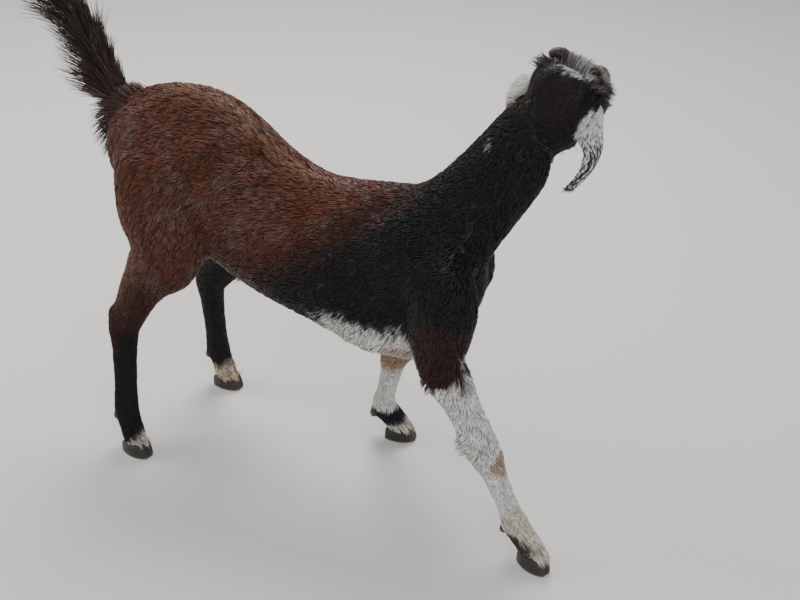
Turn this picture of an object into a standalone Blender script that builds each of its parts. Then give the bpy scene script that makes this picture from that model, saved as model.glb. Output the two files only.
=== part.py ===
"""A young Beetal billy goat, standing with its right foreleg stretched out in front and its head
turned away to its left, as a still, life-size model.

Metres. x points from the rump to the chest, y to the goat's left, z up, with the floor at z = 0.
Places on the body are measured from the floor point below the withers. Places on the head are
measured from the poll, along the face, to its left and out of the forehead.
"""

import math
import random

import bmesh
import bpy
from mathutils import Matrix, Vector

# Where the floor point below the withers lies from the middle of the whole goat's box
WITHERS_X = 0.1730
WITHERS_Y = 0.0159

# Driving heights and lengths of the trunk
WITHERS_HEIGHT = 0.500
CROUP_HEIGHT = 0.580
PIN_BACK = -0.478
BREAST_FRONT = 0.130

# The head
POLL = (0.213, 0.046, 0.701)
HEAD_LENGTH = 0.172
HEAD_YAW = math.radians(106.0)
HEAD_PITCH = math.radians(43.0)
HEAD_TILT = math.radians(21.0)

# The fine work
GAP = 0.0003
# A faceted copy lies a little inside the true offset, so cutters are swollen by more than the gap
SWELL = GAP * 1.4
VOXEL = 0.0034
HEAD_FINE_TRIANGLES = 15000
FLESH_TRIANGLES = 6300
SIDES = 20
RINGS_A_SPAN = 5


def clear_scene():
    for item in list(bpy.data.objects):
        bpy.data.objects.remove(item, do_unlink=True)


def material(name, colour, roughness):
    """A plain Principled finish."""
    finish = bpy.data.materials.new(name)
    finish.use_nodes = True
    shader = finish.node_tree.nodes["Principled BSDF"]
    shader.inputs["Base Color"].default_value = (*colour, 1.0)
    shader.inputs["Roughness"].default_value = roughness
    shader.inputs["Metallic"].default_value = 0.0
    finish.diffuse_color = (*colour, 1.0)
    return finish


def at(x, y, z):
    """A place on the body, in the model's own frame."""
    return Vector((x + WITHERS_X, y + WITHERS_Y, z))


def head_axes():
    """The head's own axes as columns: along the face, to its left, out of the forehead."""
    level = Vector((math.cos(HEAD_YAW), math.sin(HEAD_YAW), 0.0))
    face = level * math.cos(HEAD_PITCH) - Vector((0, 0, math.sin(HEAD_PITCH)))
    crown = level * math.sin(HEAD_PITCH) + Vector((0, 0, math.cos(HEAD_PITCH)))
    tilt = Matrix.Rotation(HEAD_TILT, 3, face)
    crown = tilt @ crown
    return face, crown.cross(face), crown


FACE, HEAD_LEFT, CROWN = head_axes()


def on_head(x, y, z):
    """A place on the head, in the model's own frame."""
    return at(*POLL) + FACE * x + HEAD_LEFT * y + CROWN * z


def object_of(name, verts, faces, finish=None):
    """A mesh object with its faces turned outwards."""
    mesh = bpy.data.meshes.new(name)
    mesh.from_pydata([tuple(v) for v in verts], [], faces)
    shaped = bmesh.new()
    shaped.from_mesh(mesh)
    bmesh.ops.recalc_face_normals(shaped, faces=shaped.faces)
    shaped.to_mesh(mesh)
    shaped.free()
    if finish:
        mesh.materials.append(finish)
    item = bpy.data.objects.new(name, mesh)
    bpy.context.scene.collection.objects.link(item)
    return item


def blend(a, b, c, d, t):
    """A smooth value between b and c, with a and d as the neighbours on either side."""
    return 0.5 * (2 * b + (c - a) * t + (2 * a - 5 * b + 4 * c - d) * t * t
                  + (3 * b - a - 3 * c + d) * t ** 3)


def smooth_run(rows, steps):
    """The rows of numbers with more rows put in smoothly between them."""
    run = []
    for i in range(len(rows) - 1):
        near = [rows[max(i - 1, 0)], rows[i], rows[i + 1], rows[min(i + 2, len(rows) - 1)]]
        for k in range(steps):
            run.append([blend(*four, k / steps) for four in zip(*near)])
    run.append(list(rows[-1]))
    return run


def loft(name, stations, sides=SIDES, steps=RINGS_A_SPAN, egg=0.0, faces_along=None):
    """A closed body through stations of (centre, half depth, half width, way the back faces).
    An egg above 0 narrows each section towards its back, below 0 towards its front. Sections
    stand square to the run, or to faces_along."""
    rows = [[*centre, deep, wide, *back] for centre, deep, wide, back in stations]
    run = smooth_run(rows, steps)
    centres = [Vector(row[:3]) for row in run]
    verts, faces = [], []
    for i, row in enumerate(run):
        tangent = centres[min(i + 1, len(run) - 1)] - centres[max(i - 1, 0)]
        tangent = (faces_along or tangent).normalized()
        back = Vector(row[5:8])
        back = (back - tangent * back.dot(tangent)).normalized()
        side = tangent.cross(back)
        for k in range(sides):
            turn = 2 * math.pi * k / sides
            lift, reach = math.cos(turn), math.sin(turn)
            reach *= 1 - egg * lift
            verts.append(centres[i] + back * (row[3] * lift) + side * (row[4] * reach))
    for i in range(len(run) - 1):
        for k in range(sides):
            a, b = i * sides + k, i * sides + (k + 1) % sides
            faces.append((a, b, b + sides, a + sides))
    faces.append(tuple(range(sides)))
    faces.append(tuple(range(len(verts) - sides, len(verts))))
    return object_of(name, verts, faces)


def ball(name, centre, radii, axes=None, finish=None, segments=20, rings=12):
    """An ellipsoid. axes are the ways its three radii point."""
    shaped = bmesh.new()
    bmesh.ops.create_uvsphere(shaped, u_segments=segments, v_segments=rings, radius=1.0)
    turn = Matrix(axes).transposed() if axes else Matrix.Identity(3)
    for vert in shaped.verts:
        vert.co = centre + turn @ Vector(r * c for r, c in zip(radii, vert.co))
    mesh = bpy.data.meshes.new(name)
    shaped.to_mesh(mesh)
    shaped.free()
    if finish:
        mesh.materials.append(finish)
    item = bpy.data.objects.new(name, mesh)
    bpy.context.scene.collection.objects.link(item)
    return item


# Trunk

BACKWARDS, UP = Vector((-1, 0, 0)), Vector((0, 0, 1))


def trunk_forms():
    """The barrel, from the pin bones to the breast, and the masses that stand out from it."""
    top, croup = WITHERS_HEIGHT, CROUP_HEIGHT
    sections = (
        # from the withers, top, bottom, half width
        (PIN_BACK - 0.012, croup - 0.075, 0.440, 0.020),
        (PIN_BACK, croup - 0.048, 0.405, 0.046),
        (-0.430, croup - 0.020, 0.370, 0.068),
        (-0.370, croup - 0.002, 0.345, 0.078),
        (-0.310, croup, 0.318, 0.081),
        (-0.255, croup - 0.020, 0.292, 0.085),
        (-0.200, croup - 0.062, 0.279, 0.089),
        (-0.140, top - 0.007, 0.268, 0.090),
        (-0.085, top - 0.006, 0.256, 0.087),
        (-0.020, top + 0.007, 0.244, 0.078),
        (0.040, top + 0.012, 0.246, 0.068),
        (0.090, top - 0.010, 0.276, 0.053),
        (BREAST_FRONT - 0.014, top - 0.060, 0.330, 0.040),
        (BREAST_FRONT, top - 0.090, 0.365, 0.015),
    )
    stations = [
        (at(x, 0, (high + low) / 2), (high - low) / 2, wide, UP)
        for x, high, low, wide in sections
    ]
    forms = [loft("barrel", stations, sides=28, egg=0.12, faces_along=-BACKWARDS)]
    for side in (-1, 1):
        forms.append(ball("hip_point", at(-0.300, side * 0.056, 0.506), (0.038, 0.022, 0.028)))
    forms.append(ball("sheath", at(-0.262, 0, 0.292), (0.030, 0.011, 0.012)))
    forms.append(ball("scrotum", at(-0.385, 0, 0.345), (0.018, 0.020, 0.034)))
    return forms


# Neck

def neck_forms():
    """The neck rises forwards and bends to the left, turning its crest towards the right."""
    stations = (
        (at(-0.020, 0.000, 0.400), 0.090, 0.070, Vector((-0.3, 0.0, 1.0))),
        (at(0.047, 0.000, 0.436), 0.083, 0.064, Vector((-0.6, 0.0, 0.8))),
        (at(0.096, 0.002, 0.493), 0.065, 0.053, Vector((-0.75, 0.0, 0.6))),
        (at(0.140, 0.012, 0.557), 0.057, 0.045, Vector((-0.8, -0.2, 0.5))),
        (at(0.168, 0.028, 0.610), 0.051, 0.043, Vector((-0.6, -0.6, 0.4))),
        (at(0.192, 0.042, 0.648), 0.048, 0.042, Vector((-0.2, -0.95, 0.3))),
        (at(0.206, 0.054, 0.668), 0.040, 0.040, Vector((-0.1, -1.0, 0.3))),
    )
    return [loft("neck_core", stations, sides=24)]


# Legs: each joint's place, then the sizes shared by the legs of a pair

FORE_JOINTS = {
    "right": {
        "arm": (0.060, -0.048, 0.440), "shoulder": (0.100, -0.060, 0.395),
        "elbow": (0.094, -0.057, 0.292), "knee": (0.180, -0.064, 0.157),
        "fetlock": (0.234, -0.070, 0.060), "coronet": (0.266, -0.074, 0.024),
    },
    "left": {
        "arm": (0.040, 0.046, 0.430), "shoulder": (0.072, 0.060, 0.388),
        "elbow": (0.040, 0.064, 0.285), "knee": (-0.042, 0.072, 0.170),
        "fetlock": (-0.064, 0.078, 0.062), "coronet": (-0.040, 0.086, 0.024),
    },
}
HIND_JOINTS = {
    "right": {
        "hip": (-0.380, -0.050, 0.485), "thigh": (-0.367, -0.066, 0.410),
        "stifle": (-0.358, -0.076, 0.340), "gaskin": (-0.406, -0.086, 0.262),
        "hock": (-0.437, -0.098, 0.192), "fetlock": (-0.412, -0.142, 0.066),
        "coronet": (-0.388, -0.157, 0.025),
    },
    "left": {
        "hip": (-0.375, 0.052, 0.485), "thigh": (-0.345, 0.070, 0.410),
        "stifle": (-0.300, 0.076, 0.340), "gaskin": (-0.347, 0.070, 0.262),
        "hock": (-0.390, 0.066, 0.202), "fetlock": (-0.384, 0.066, 0.072),
        "coronet": (-0.368, 0.063, 0.026),
    },
}


def between(a, b, share):
    return tuple(p + (q - p) * share for p, q in zip(a, b))


def foreleg(side):
    joint = FORE_JOINTS[side]
    knee, fetlock, elbow = joint["knee"], joint["fetlock"], joint["elbow"]
    plan = (
        (joint["arm"], 0.060, 0.030),
        (joint["shoulder"], 0.050, 0.034),
        (between(joint["shoulder"], elbow, 0.55), 0.047, 0.032),
        (elbow, 0.040, 0.027),
        (between(elbow, knee, 0.30), 0.032, 0.023),
        (between(elbow, knee, 0.70), 0.024, 0.020),
        (knee, 0.0245, 0.0225),
        (between(knee, fetlock, 0.30), 0.0185, 0.0175),
        (between(knee, fetlock, 0.70), 0.0165, 0.0165),
        (fetlock, 0.0205, 0.0200),
        (between(fetlock, joint["coronet"], 0.5), 0.0180, 0.0195),
        (joint["coronet"], 0.0195, 0.0178),
        ((*joint["coronet"][:2], 0.004), 0.0195, 0.0178),
    )
    stations = [(at(*place), deep, wide, BACKWARDS) for place, deep, wide in plan]
    forms = [loft("foreleg_" + side, stations)]
    lean = -1 if side == "right" else 1
    forms.append(ball("elbow_point", at(elbow[0] - 0.026, elbow[1], elbow[2] + 0.012),
                      (0.022, 0.014, 0.022)))
    forms.append(ball("blade", at(0.018, lean * 0.048, 0.415), (0.052, 0.034, 0.076)))
    return forms


def hindleg(side):
    joint = HIND_JOINTS[side]
    gaskin, hock, fetlock = joint["gaskin"], joint["hock"], joint["fetlock"]
    plan = (
        (joint["hip"], 0.072, 0.040),
        (joint["thigh"], 0.080, 0.042),
        (joint["stifle"], 0.068, 0.037),
        (between(joint["stifle"], gaskin, 0.6), 0.046, 0.031),
        (gaskin, 0.037, 0.027),
        (between(gaskin, hock, 0.6), 0.030, 0.022),
        (hock, 0.0280, 0.0215),
        (between(hock, fetlock, 0.25), 0.0220, 0.0190),
        (between(hock, fetlock, 0.70), 0.0190, 0.0180),
        (fetlock, 0.0205, 0.0200),
        (between(fetlock, joint["coronet"], 0.5), 0.0180, 0.0190),
        (joint["coronet"], 0.0195, 0.0178),
        ((*joint["coronet"][:2], 0.004), 0.0195, 0.0178),
    )
    stations = [(at(*place), deep, wide, BACKWARDS) for place, deep, wide in plan]
    forms = [loft("hindleg_" + side, stations)]
    forms.append(ball("hock_point", at(hock[0] - 0.017, hock[1], hock[2] + 0.016),
                      (0.012, 0.011, 0.020)))
    return forms


# Head

def head_forms():
    """The skull and jaws: a broad forehead, a bowed nose and a small narrow muzzle."""
    reach = HEAD_LENGTH
    sections = (
        # along the face, top, bottom, half width
        (-0.16, -0.022, -0.072, 0.028),
        (-0.08, -0.006, -0.082, 0.037),
        (0.06, 0.004, -0.090, 0.041),
        (0.22, 0.015, -0.094, 0.043),
        (0.36, 0.018, -0.091, 0.040),
        (0.48, 0.016, -0.084, 0.034),
        (0.62, 0.010, -0.073, 0.0275),
        (0.76, -0.001, -0.064, 0.0225),
        (0.88, -0.014, -0.060, 0.0215),
        (0.96, -0.030, -0.057, 0.0170),
        (1.00, -0.040, -0.052, 0.0085),
    )
    stations = [
        (on_head(x * reach, 0, (high + low) / 2), (high - low) / 2, wide, CROWN)
        for x, high, low, wide in sections
    ]
    forms = [loft("skull", stations, sides=24, egg=-0.18)]
    axes = (FACE, HEAD_LEFT, CROWN)
    for side in (-1, 1):
        forms.append(ball("orbit", on_head(0.052, side * 0.032, -0.012), (0.021, 0.014, 0.019),
                          axes))
        forms.append(ball("brow", on_head(0.050, side * 0.025, 0.004), (0.027, 0.017, 0.016),
                          axes))
        forms.append(ball("cheek", on_head(0.035, side * 0.018, -0.064), (0.036, 0.018, 0.032),
                          axes))
        forms.append(ball("ear_root", on_head(0.006, side * 0.036, -0.027), (0.017, 0.013, 0.021),
                          axes))
        forms.append(ball("horn_boss", on_head(0.004, side * 0.024, -0.006), (0.017, 0.016, 0.013),
                          axes))
    return forms


# Flesh as one body, then parted

def join(name, pieces):
    """All the pieces' meshes in one object; the pieces are removed."""
    whole = bmesh.new()
    for piece in pieces:
        whole.from_mesh(piece.data)
    mesh = bpy.data.meshes.new(name)
    whole.to_mesh(mesh)
    whole.free()
    for piece in pieces:
        bpy.data.objects.remove(piece, do_unlink=True)
    item = bpy.data.objects.new(name, mesh)
    bpy.context.scene.collection.objects.link(item)
    return item


def apply_modifiers(item):
    """The object's mesh as its modifiers leave it, with the modifiers gone."""
    bpy.context.view_layer.update()
    graph = bpy.context.evaluated_depsgraph_get()
    mesh = bpy.data.meshes.new_from_object(item.evaluated_get(graph))
    item.modifiers.clear()
    item.data = mesh
    return item


def keep_largest(item):
    """Keeps the largest closed surface of the object's mesh."""
    shaped = bmesh.new()
    shaped.from_mesh(item.data)
    seen, shells = set(), []
    for first in shaped.verts:
        if first in seen:
            continue
        shell, edge = [], [first]
        seen.add(first)
        while edge:
            vert = edge.pop()
            shell.append(vert)
            for link in vert.link_edges:
                other = link.other_vert(vert)
                if other not in seen:
                    seen.add(other)
                    edge.append(other)
        shells.append(shell)
    shells.sort(key=len, reverse=True)
    for shell in shells[1:]:
        bmesh.ops.delete(shaped, geom=shell, context="VERTS")
    shaped.to_mesh(item.data)
    shaped.free()
    return item


def flesh():
    """The whole animal without eyes, ears, horns, tail and hooves, as one closed skin."""
    pieces = trunk_forms() + neck_forms() + head_forms()
    for side in ("right", "left"):
        pieces += foreleg(side) + hindleg(side)
    body = join("flesh", pieces)
    remesh = body.modifiers.new("even", "REMESH")
    remesh.mode = "VOXEL"
    remesh.voxel_size = VOXEL
    keep_largest(apply_modifiers(body))
    soft = body.vertex_groups.new(name="soft")
    coarse = body.vertex_groups.new(name="coarse")
    for vert in body.data.vertices:
        trunk_share = min(max((vert.co.z - 0.20) / 0.12, 0.15), 1.0)
        from_poll = (vert.co - on_head(0.06, 0, -0.04)).length
        head_share = min(max((from_poll - 0.09) / 0.05, 0.0), 1.0)
        soft.add([vert.index], min(trunk_share, 0.2 + 0.8 * head_share), "REPLACE")
        coarse.add([vert.index], head_share, "REPLACE")
    smooth = body.modifiers.new("smooth", "SMOOTH")
    smooth.factor = 0.5
    smooth.iterations = 60
    smooth.vertex_group = "soft"
    fewer = body.modifiers.new("fewer", "DECIMATE")
    fewer.ratio = HEAD_FINE_TRIANGLES / (2 * len(body.data.polygons))
    fewest = body.modifiers.new("fewest", "DECIMATE")
    fewest.ratio = FLESH_TRIANGLES / HEAD_FINE_TRIANGLES
    fewest.vertex_group = "coarse"
    apply_modifiers(body)
    triangles = bmesh.new()
    triangles.from_mesh(body.data)
    bmesh.ops.triangulate(triangles, faces=triangles.faces)
    triangles.to_mesh(body.data)
    triangles.free()
    return body


def clear_of(item, neighbour):
    """Cuts the object back to the gap from its neighbour."""
    swollen = bpy.data.objects.new("swollen", neighbour.data.copy())
    bpy.context.scene.collection.objects.link(swollen)
    swell = swollen.modifiers.new("swell", "DISPLACE")
    swell.mid_level = 0.0
    swell.strength = SWELL
    apply_modifiers(swollen)
    return keep_largest(boolean(item, [swollen], "DIFFERENCE"))


def boolean(item, others, operation, solver="EXACT"):
    """Joins to, or cuts from, the object the closed meshes given, which are then removed."""
    tools = bpy.data.collections.new("tools")
    for other in others:
        tools.objects.link(other)
    change = item.modifiers.new(operation.lower(), "BOOLEAN")
    change.operation = operation
    change.solver = solver
    change.operand_type = "COLLECTION"
    change.collection = tools
    apply_modifiers(item)
    bpy.data.collections.remove(tools)
    for other in others:
        bpy.data.objects.remove(other, do_unlink=True)
    return item


def block(planes, grown=0.0):
    """A closed block on the inner side of planes of (place, way out)."""
    shaped = bmesh.new()
    bmesh.ops.create_cube(shaped, size=3.0)
    for place, out in planes:
        out = Vector(out).normalized()
        cut = bmesh.ops.bisect_plane(
            shaped, geom=shaped.verts[:] + shaped.edges[:] + shaped.faces[:], dist=1e-7,
            plane_co=Vector(place) + out * grown, plane_no=out, clear_outer=True)
        edges = [e for e in cut["geom_cut"] if isinstance(e, bmesh.types.BMEdge)]
        bmesh.ops.contextual_create(shaped, geom=edges)
    bmesh.ops.recalc_face_normals(shaped, faces=shaped.faces)
    mesh = bpy.data.meshes.new("block")
    shaped.to_mesh(mesh)
    shaped.free()
    item = bpy.data.objects.new("block", mesh)
    bpy.context.scene.collection.objects.link(item)
    return item


def part_off(body, name, planes, finish):
    """Parts the piece inside the planes off the body, with the gap all round the cut."""
    piece = bpy.data.objects.new(name, body.data.copy())
    bpy.context.scene.collection.objects.link(piece)
    keep_largest(boolean(piece, [block(planes)], "INTERSECT"))
    keep_largest(boolean(body, [block(planes, GAP)], "DIFFERENCE"))
    piece.data.materials.clear()
    piece.data.materials.append(finish)
    return piece


NECK_CUT = (at(0.088, 0, 0.464), Vector((-0.60, 0.0, -0.80)))
HEAD_CUT = (at(0.166, 0.028, 0.612), Vector((-0.30, -0.92, -0.24)))


def leg_planes(side, pair):
    """The planes that bound a leg: behind or in front, inside, and slanting up outwards."""
    lean = -1 if side == "right" else 1
    if pair == "front":
        elbow = FORE_JOINTS[side]["elbow"]
        behind = (at(elbow[0] - 0.066, 0, 0.36), (-0.941, 0.0, 0.339))
        inside = (at(0, lean * 0.016, 0), (0, -lean, 0))
        above = (at(0, elbow[1] - lean * 0.020, 0.262), (0, -lean * 0.77, 0.64))
        return (behind, inside, above)
    stifle = HIND_JOINTS[side]["stifle"]
    before = (at(stifle[0] + 0.078, 0, 0.36), (1, 0, 0))
    inside = (at(0, lean * 0.0225, 0), (0, -lean, 0))
    above = (at(0, lean * 0.030, 0.362), (0, -lean * 0.80, 0.60))
    return (before, inside, above)


# Hooves

HOOF_HEADING = {"front_right": -21.0, "front_left": 16.0, "hind_right": -5.0, "hind_left": 3.0}
HEEL_HEIGHT, CORONET_SLOPE, CORONET_AHEAD = 0.0160, 0.24, 0.020
CLAW_GAP = 0.0011


def foot(name):
    """A foot's heel on the floor, the way its toe points and the way to its left."""
    pair, side = name.split("_")
    joint = (FORE_JOINTS if pair == "front" else HIND_JOINTS)[side]
    heading = math.radians(HOOF_HEADING[name])
    ahead = Vector((math.cos(heading), math.sin(heading), 0))
    left = Vector((-ahead.y, ahead.x, 0))
    heel = at(*joint["coronet"][:2], 0) - ahead * CORONET_AHEAD
    return heel, ahead, left


def coronet_plane(name, grown):
    """The slanting plane where the hair ends and the horn begins."""
    heel, ahead, _ = foot(name)
    out = Vector((-ahead.x * CORONET_SLOPE, -ahead.y * CORONET_SLOPE, 1.0))
    return (heel + Vector((0, 0, HEEL_HEIGHT + grown)), out)


def foot_block(name):
    """What lies below the coronet in one foot."""
    heel, ahead, left = foot(name)
    reach = 0.06
    return block((
        coronet_plane(name, GAP), (heel + ahead * reach, ahead), (heel - ahead * reach, -ahead),
        (heel + left * reach, left), (heel - left * reach, -left)))


def claw(name, inner_side, finish):
    """One of a foot's two claws: a flat sole, a straight inner wall and a bowed outer wall."""
    heel, ahead, left = foot(name)
    walls = (
        # along the sole, outer half width, height where it is under the coronet's own
        (0.000, 0.0115, None), (0.008, 0.0150, None), (0.018, 0.0170, None),
        (0.028, 0.0170, None), (0.036, 0.0155, None), (0.0415, 0.0130, 0.0180),
        (0.0465, 0.0100, 0.0105), (0.0500, 0.0062, 0.0035),
    )
    verts, faces = [], []
    for along, wide, low in walls:
        high = HEEL_HEIGHT + CORONET_SLOPE * along if low is None else low
        for across, up in ((CLAW_GAP, 0), (wide, 0), (wide, 0.5), (wide * 0.93, 0.85),
                           (wide * 0.84, 1.0), (CLAW_GAP, 1.0)):
            verts.append(heel + ahead * along + left * (inner_side * across)
                         + Vector((0, 0, up * high)))
    count = 6
    for i in range(len(walls) - 1):
        for k in range(count):
            a, b = i * count + k, i * count + (k + 1) % count
            faces.append((a, b, b + count, a + count))
    faces.append(tuple(range(count)))
    faces.append(tuple(range(len(verts) - count, len(verts))))
    return object_of(f"hoof_{name}_{'inner' if inner_side * foot_lean(name) < 0 else 'outer'}",
                     verts, faces, finish)


def foot_lean(name):
    return -1 if name.endswith("right") else 1


def dewclaws(name):
    """The two small claws behind a fetlock."""
    pair, side = name.split("_")
    joint = (FORE_JOINTS if pair == "front" else HIND_JOINTS)[side]
    _, ahead, left = foot(name)
    base = at(*joint["fetlock"]) - ahead * 0.0165 - Vector((0, 0, 0.014))
    return [ball("dewclaw", base + left * (0.0085 * k), (0.0065, 0.0055, 0.0095),
                 segments=8, rings=6) for k in (-1, 1)]


# Eyes, lids, nostrils and mouth

EYE_RADIUS = 0.0115
EYE_ALONG, EYE_OUT, EYE_UP = 0.054, 0.0370, -0.0115
HEAD_AXES = (FACE, HEAD_LEFT, CROWN)


def eye_place(side):
    return on_head(EYE_ALONG, side * EYE_OUT, EYE_UP)


def lids(side):
    """An almond rim of lid round the eye, thicker above."""
    half_long, half_high, turns, sides = 0.0112, 0.0078, 16, 5
    verts, faces = [], []
    centre = eye_place(side)
    for i in range(turns):
        turn = 2 * math.pi * i / turns
        along, up = half_long * math.cos(turn), half_high * math.sin(turn)
        thick = 0.0021 if up > 0 else 0.0017
        out = math.sqrt((EYE_RADIUS + 0.0006) ** 2 - along ** 2 - up ** 2)
        place = centre + FACE * along + CROWN * up + HEAD_LEFT * (side * out)
        away = (place - centre).normalized()
        flat = (FACE * math.cos(turn) + CROWN * math.sin(turn)).normalized()
        for k in range(sides):
            curl = 2 * math.pi * k / sides
            verts.append(place + (flat * math.cos(curl) + away * math.sin(curl)) * thick)
    for i in range(turns):
        for k in range(sides):
            a, b = i * sides + k, i * sides + (k + 1) % sides
            c, d = (a + sides) % len(verts), (b + sides) % len(verts)
            faces.append((a, b, d, c))
    return object_of("lids", verts, faces)


def mouth_cut():
    """A thin bent blade that parts the lips round the muzzle."""
    reach = HEAD_LENGTH
    line = ((0.66, 0.0262, -0.0535), (0.74, 0.0238, -0.0515), (0.82, 0.0222, -0.0500),
            (0.90, 0.0205, -0.0490), (0.96, 0.0165, -0.0480), (1.02, 0.0080, -0.0470))
    half_thick, depth = 0.0006, 0.0052
    verts, faces = [], []
    row = [(x, w, z) for x, w, z in line] + [(1.035, 0.0, -0.0470)]
    row += [(x, -w, z) for x, w, z in reversed(line)]
    for x, w, z in row:
        grip = depth / max(abs(w), 0.012)
        for inward in (-0.35, 1.0):
            for up in (-half_thick, half_thick):
                shrink = 1 - grip * inward
                slip = depth * inward * max(0.0, (x - 0.86) / 0.16)
                verts.append(on_head(x * reach - slip, w * shrink, z + up))
    for i in range(len(row) - 1):
        base, after = 4 * i, 4 * i + 4
        for a, b in ((0, 1), (1, 3), (3, 2), (2, 0)):
            faces.append((base + a, base + b, after + b, after + a))
    faces.append((0, 1, 3, 2))
    faces.append(tuple(len(verts) - 4 + k for k in (0, 1, 3, 2)))
    return object_of("mouth_cut", verts, faces)


def nostril_cuts():
    """A slanting comma of a nostril on each side of the muzzle."""
    cuts = []
    for side in (-1, 1):
        along = (FACE * 0.80 - CROWN * 0.50 - HEAD_LEFT * (0.30 * side)).normalized()
        out = (HEAD_LEFT * side * 0.9 + FACE * 0.35).normalized()
        out = (out - along * out.dot(along)).normalized()
        cuts.append(ball("nostril", on_head(0.1590, side * 0.0155, -0.0335),
                         (0.0062, 0.0044, 0.0022), (along, out, along.cross(out)),
                         segments=12, rings=8))
    return cuts


# Ears

def leaf(name, rows, finish):
    """A closed curved leaf through rows of (centre, half width, depth of its cup, way out,
    thickness). Its hollow faces away from the way out."""
    table = [[*centre, half, cup, *out, thick] for centre, half, cup, out, thick in rows]
    run = smooth_run(table, 4)
    centres = [Vector(row[:3]) for row in run]
    spots = 6
    verts, faces = [], []
    for i, row in enumerate(run):
        tangent = (centres[min(i + 1, len(run) - 1)] - centres[max(i - 1, 0)]).normalized()
        out = Vector(row[5:8])
        out = (out - tangent * out.dot(tangent)).normalized()
        side = tangent.cross(out)
        half, cup, thick = row[3], row[4], row[8]
        spread = [2 * k / spots - 1 for k in range(spots + 1)]
        for share, layer in [(s, 1) for s in spread] + [(s, -1) for s in reversed(spread)]:
            lean = math.sin(share * math.pi / 2) * half
            sink = cup * (1 - math.cos(share * math.pi / 2))
            rim = math.sqrt(max(1 - share ** 4, 0.12))
            away = out * math.cos(share) + side * math.sin(share)
            verts.append(centres[i] + side * lean - out * sink + away * (layer * thick * rim / 2))
    count = 2 * (spots + 1)
    for i in range(len(run) - 1):
        for k in range(count):
            a, b = i * count + k, i * count + (k + 1) % count
            faces.append((a, b, b + count))
            faces.append((a, b + count, a + count))
    faces.append(tuple(range(count)))
    faces.append(tuple(range(len(verts) - count, len(verts))))
    return object_of(name, verts, faces, finish)


EAR_ROOT = {"right": (0.006, -0.0475, -0.031), "left": (0.006, 0.0475, -0.031)}
EAR_PATH = {
    # below the root: places, and which way the back of the ear faces
    "right": (
        ((0.244, 0.036, 0.650), (0.80, -0.60, 0.25)), ((0.251, 0.031, 0.629), (0.92, -0.38, 0.0)),
        ((0.257, 0.029, 0.603), (0.97, -0.25, 0.0)), ((0.247, 0.028, 0.575), (0.95, -0.30, -0.3)),
        ((0.228, 0.030, 0.547), (0.75, -0.50, -0.6)),
    ),
    "left": (
        ((0.142, 0.037, 0.670), (-0.85, -0.40, 0.3)), ((0.129, 0.043, 0.648), (-0.95, -0.20, 0.2)),
        ((0.122, 0.058, 0.616), (-0.95, 0.10, 0.0)), ((0.122, 0.072, 0.582), (-0.90, 0.30, 0.0)),
        ((0.129, 0.081, 0.554), (-0.80, 0.40, -0.3)),
    ),
}
EAR_WIDTHS = ((0.0200, 0.014, 0.0044), (0.0208, 0.012, 0.0036), (0.0158, 0.009, 0.0034),
              (0.0140, 0.006, 0.0032), (0.0080, 0.003, 0.0028))


def ear(side, finish):
    """A long hanging ear, rolled to a cup at its root, with its tip curled."""
    lean = -1 if side == "right" else 1
    first = HEAD_LEFT * (0.7 * lean) + CROWN * 0.45 - FACE * 0.5
    rows = [(on_head(*EAR_ROOT[side]), 0.0125, 0.013, first, 0.0050)]
    for (place, out), (half, cup, thick) in zip(EAR_PATH[side], EAR_WIDTHS):
        rows.append((at(*place), half, cup, Vector(out), thick))
    return leaf("ear_" + side, rows, finish)


# Horn stubs

HORN_PATH = (
    # places on the left of the head, then half the thickness
    (0.0100, 0.0120, -0.0040, 0.0092), (0.0090, 0.0165, 0.0075, 0.0092),
    (0.0060, 0.0265, 0.0105, 0.0088), (0.0020, 0.0345, 0.0060, 0.0074),
    (-0.0010, 0.0385, 0.0015, 0.0034),
)


def horn(side, finish):
    """A short blunt horn that leans out from the poll and droops."""
    lean = -1 if side == "right" else 1
    rows = [(on_head(x, lean * y, z), half, half * 0.90, -FACE) for x, y, z, half in HORN_PATH]
    item = loft("horn_" + side, rows, sides=12, steps=3)
    item.data.materials.append(finish)
    return item


# Locks

def lock(root, grow, length, width, bend, flat, sides=4, steps=5):
    """A flat tapered lock: it leaves the root along grow and bends over towards bend."""
    verts, faces = [], []
    for i in range(steps + 1):
        share = i / steps
        place = root + grow * (length * share) + bend * (length * share * share * 0.5)
        way = (grow + bend * share).normalized()
        across = way.cross(flat).normalized()
        lift = across.cross(way)
        half = width * (0.75 + 0.5 * share - 1.13 * share ** 2)
        thick = max(half * 0.42, 0.0004)
        for k in range(sides):
            turn = 2 * math.pi * (k + 0.5) / sides
            verts.append(place + across * (half * math.cos(turn) * 1.4)
                         + lift * (thick * math.sin(turn) * 1.4))
    for i in range(steps):
        for k in range(sides):
            a, b = i * sides + k, i * sides + (k + 1) % sides
            faces.append((a, b, b + sides))
            faces.append((a, b + sides, a + sides))
    faces.append(tuple(range(sides)))
    faces.append(tuple(range(len(verts) - sides, len(verts))))
    return object_of("lock", verts, faces)


# Tail

TAIL_ROOT = (-0.478, 0.0, 0.532)
TAIL_RUN = ((-0.497, 0.000, 0.556), (-0.512, 0.001, 0.586), (-0.528, 0.002, 0.616),
            (-0.548, 0.003, 0.643), (-0.570, 0.004, 0.664))
TAIL_LOCKS, SKIRT_LOCKS = 30, 7


def tail_axis(share):
    """A place on the tail's middle line, and the way it runs there."""
    run = smooth_run([list(p) for p in (TAIL_ROOT,) + TAIL_RUN], 6)
    spot = min(share * (len(run) - 1), len(run) - 1.001)
    low = int(spot)
    a, b = Vector(run[low]), Vector(run[low + 1])
    return at(*a.lerp(b, spot - low)), (b - a).normalized()


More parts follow.
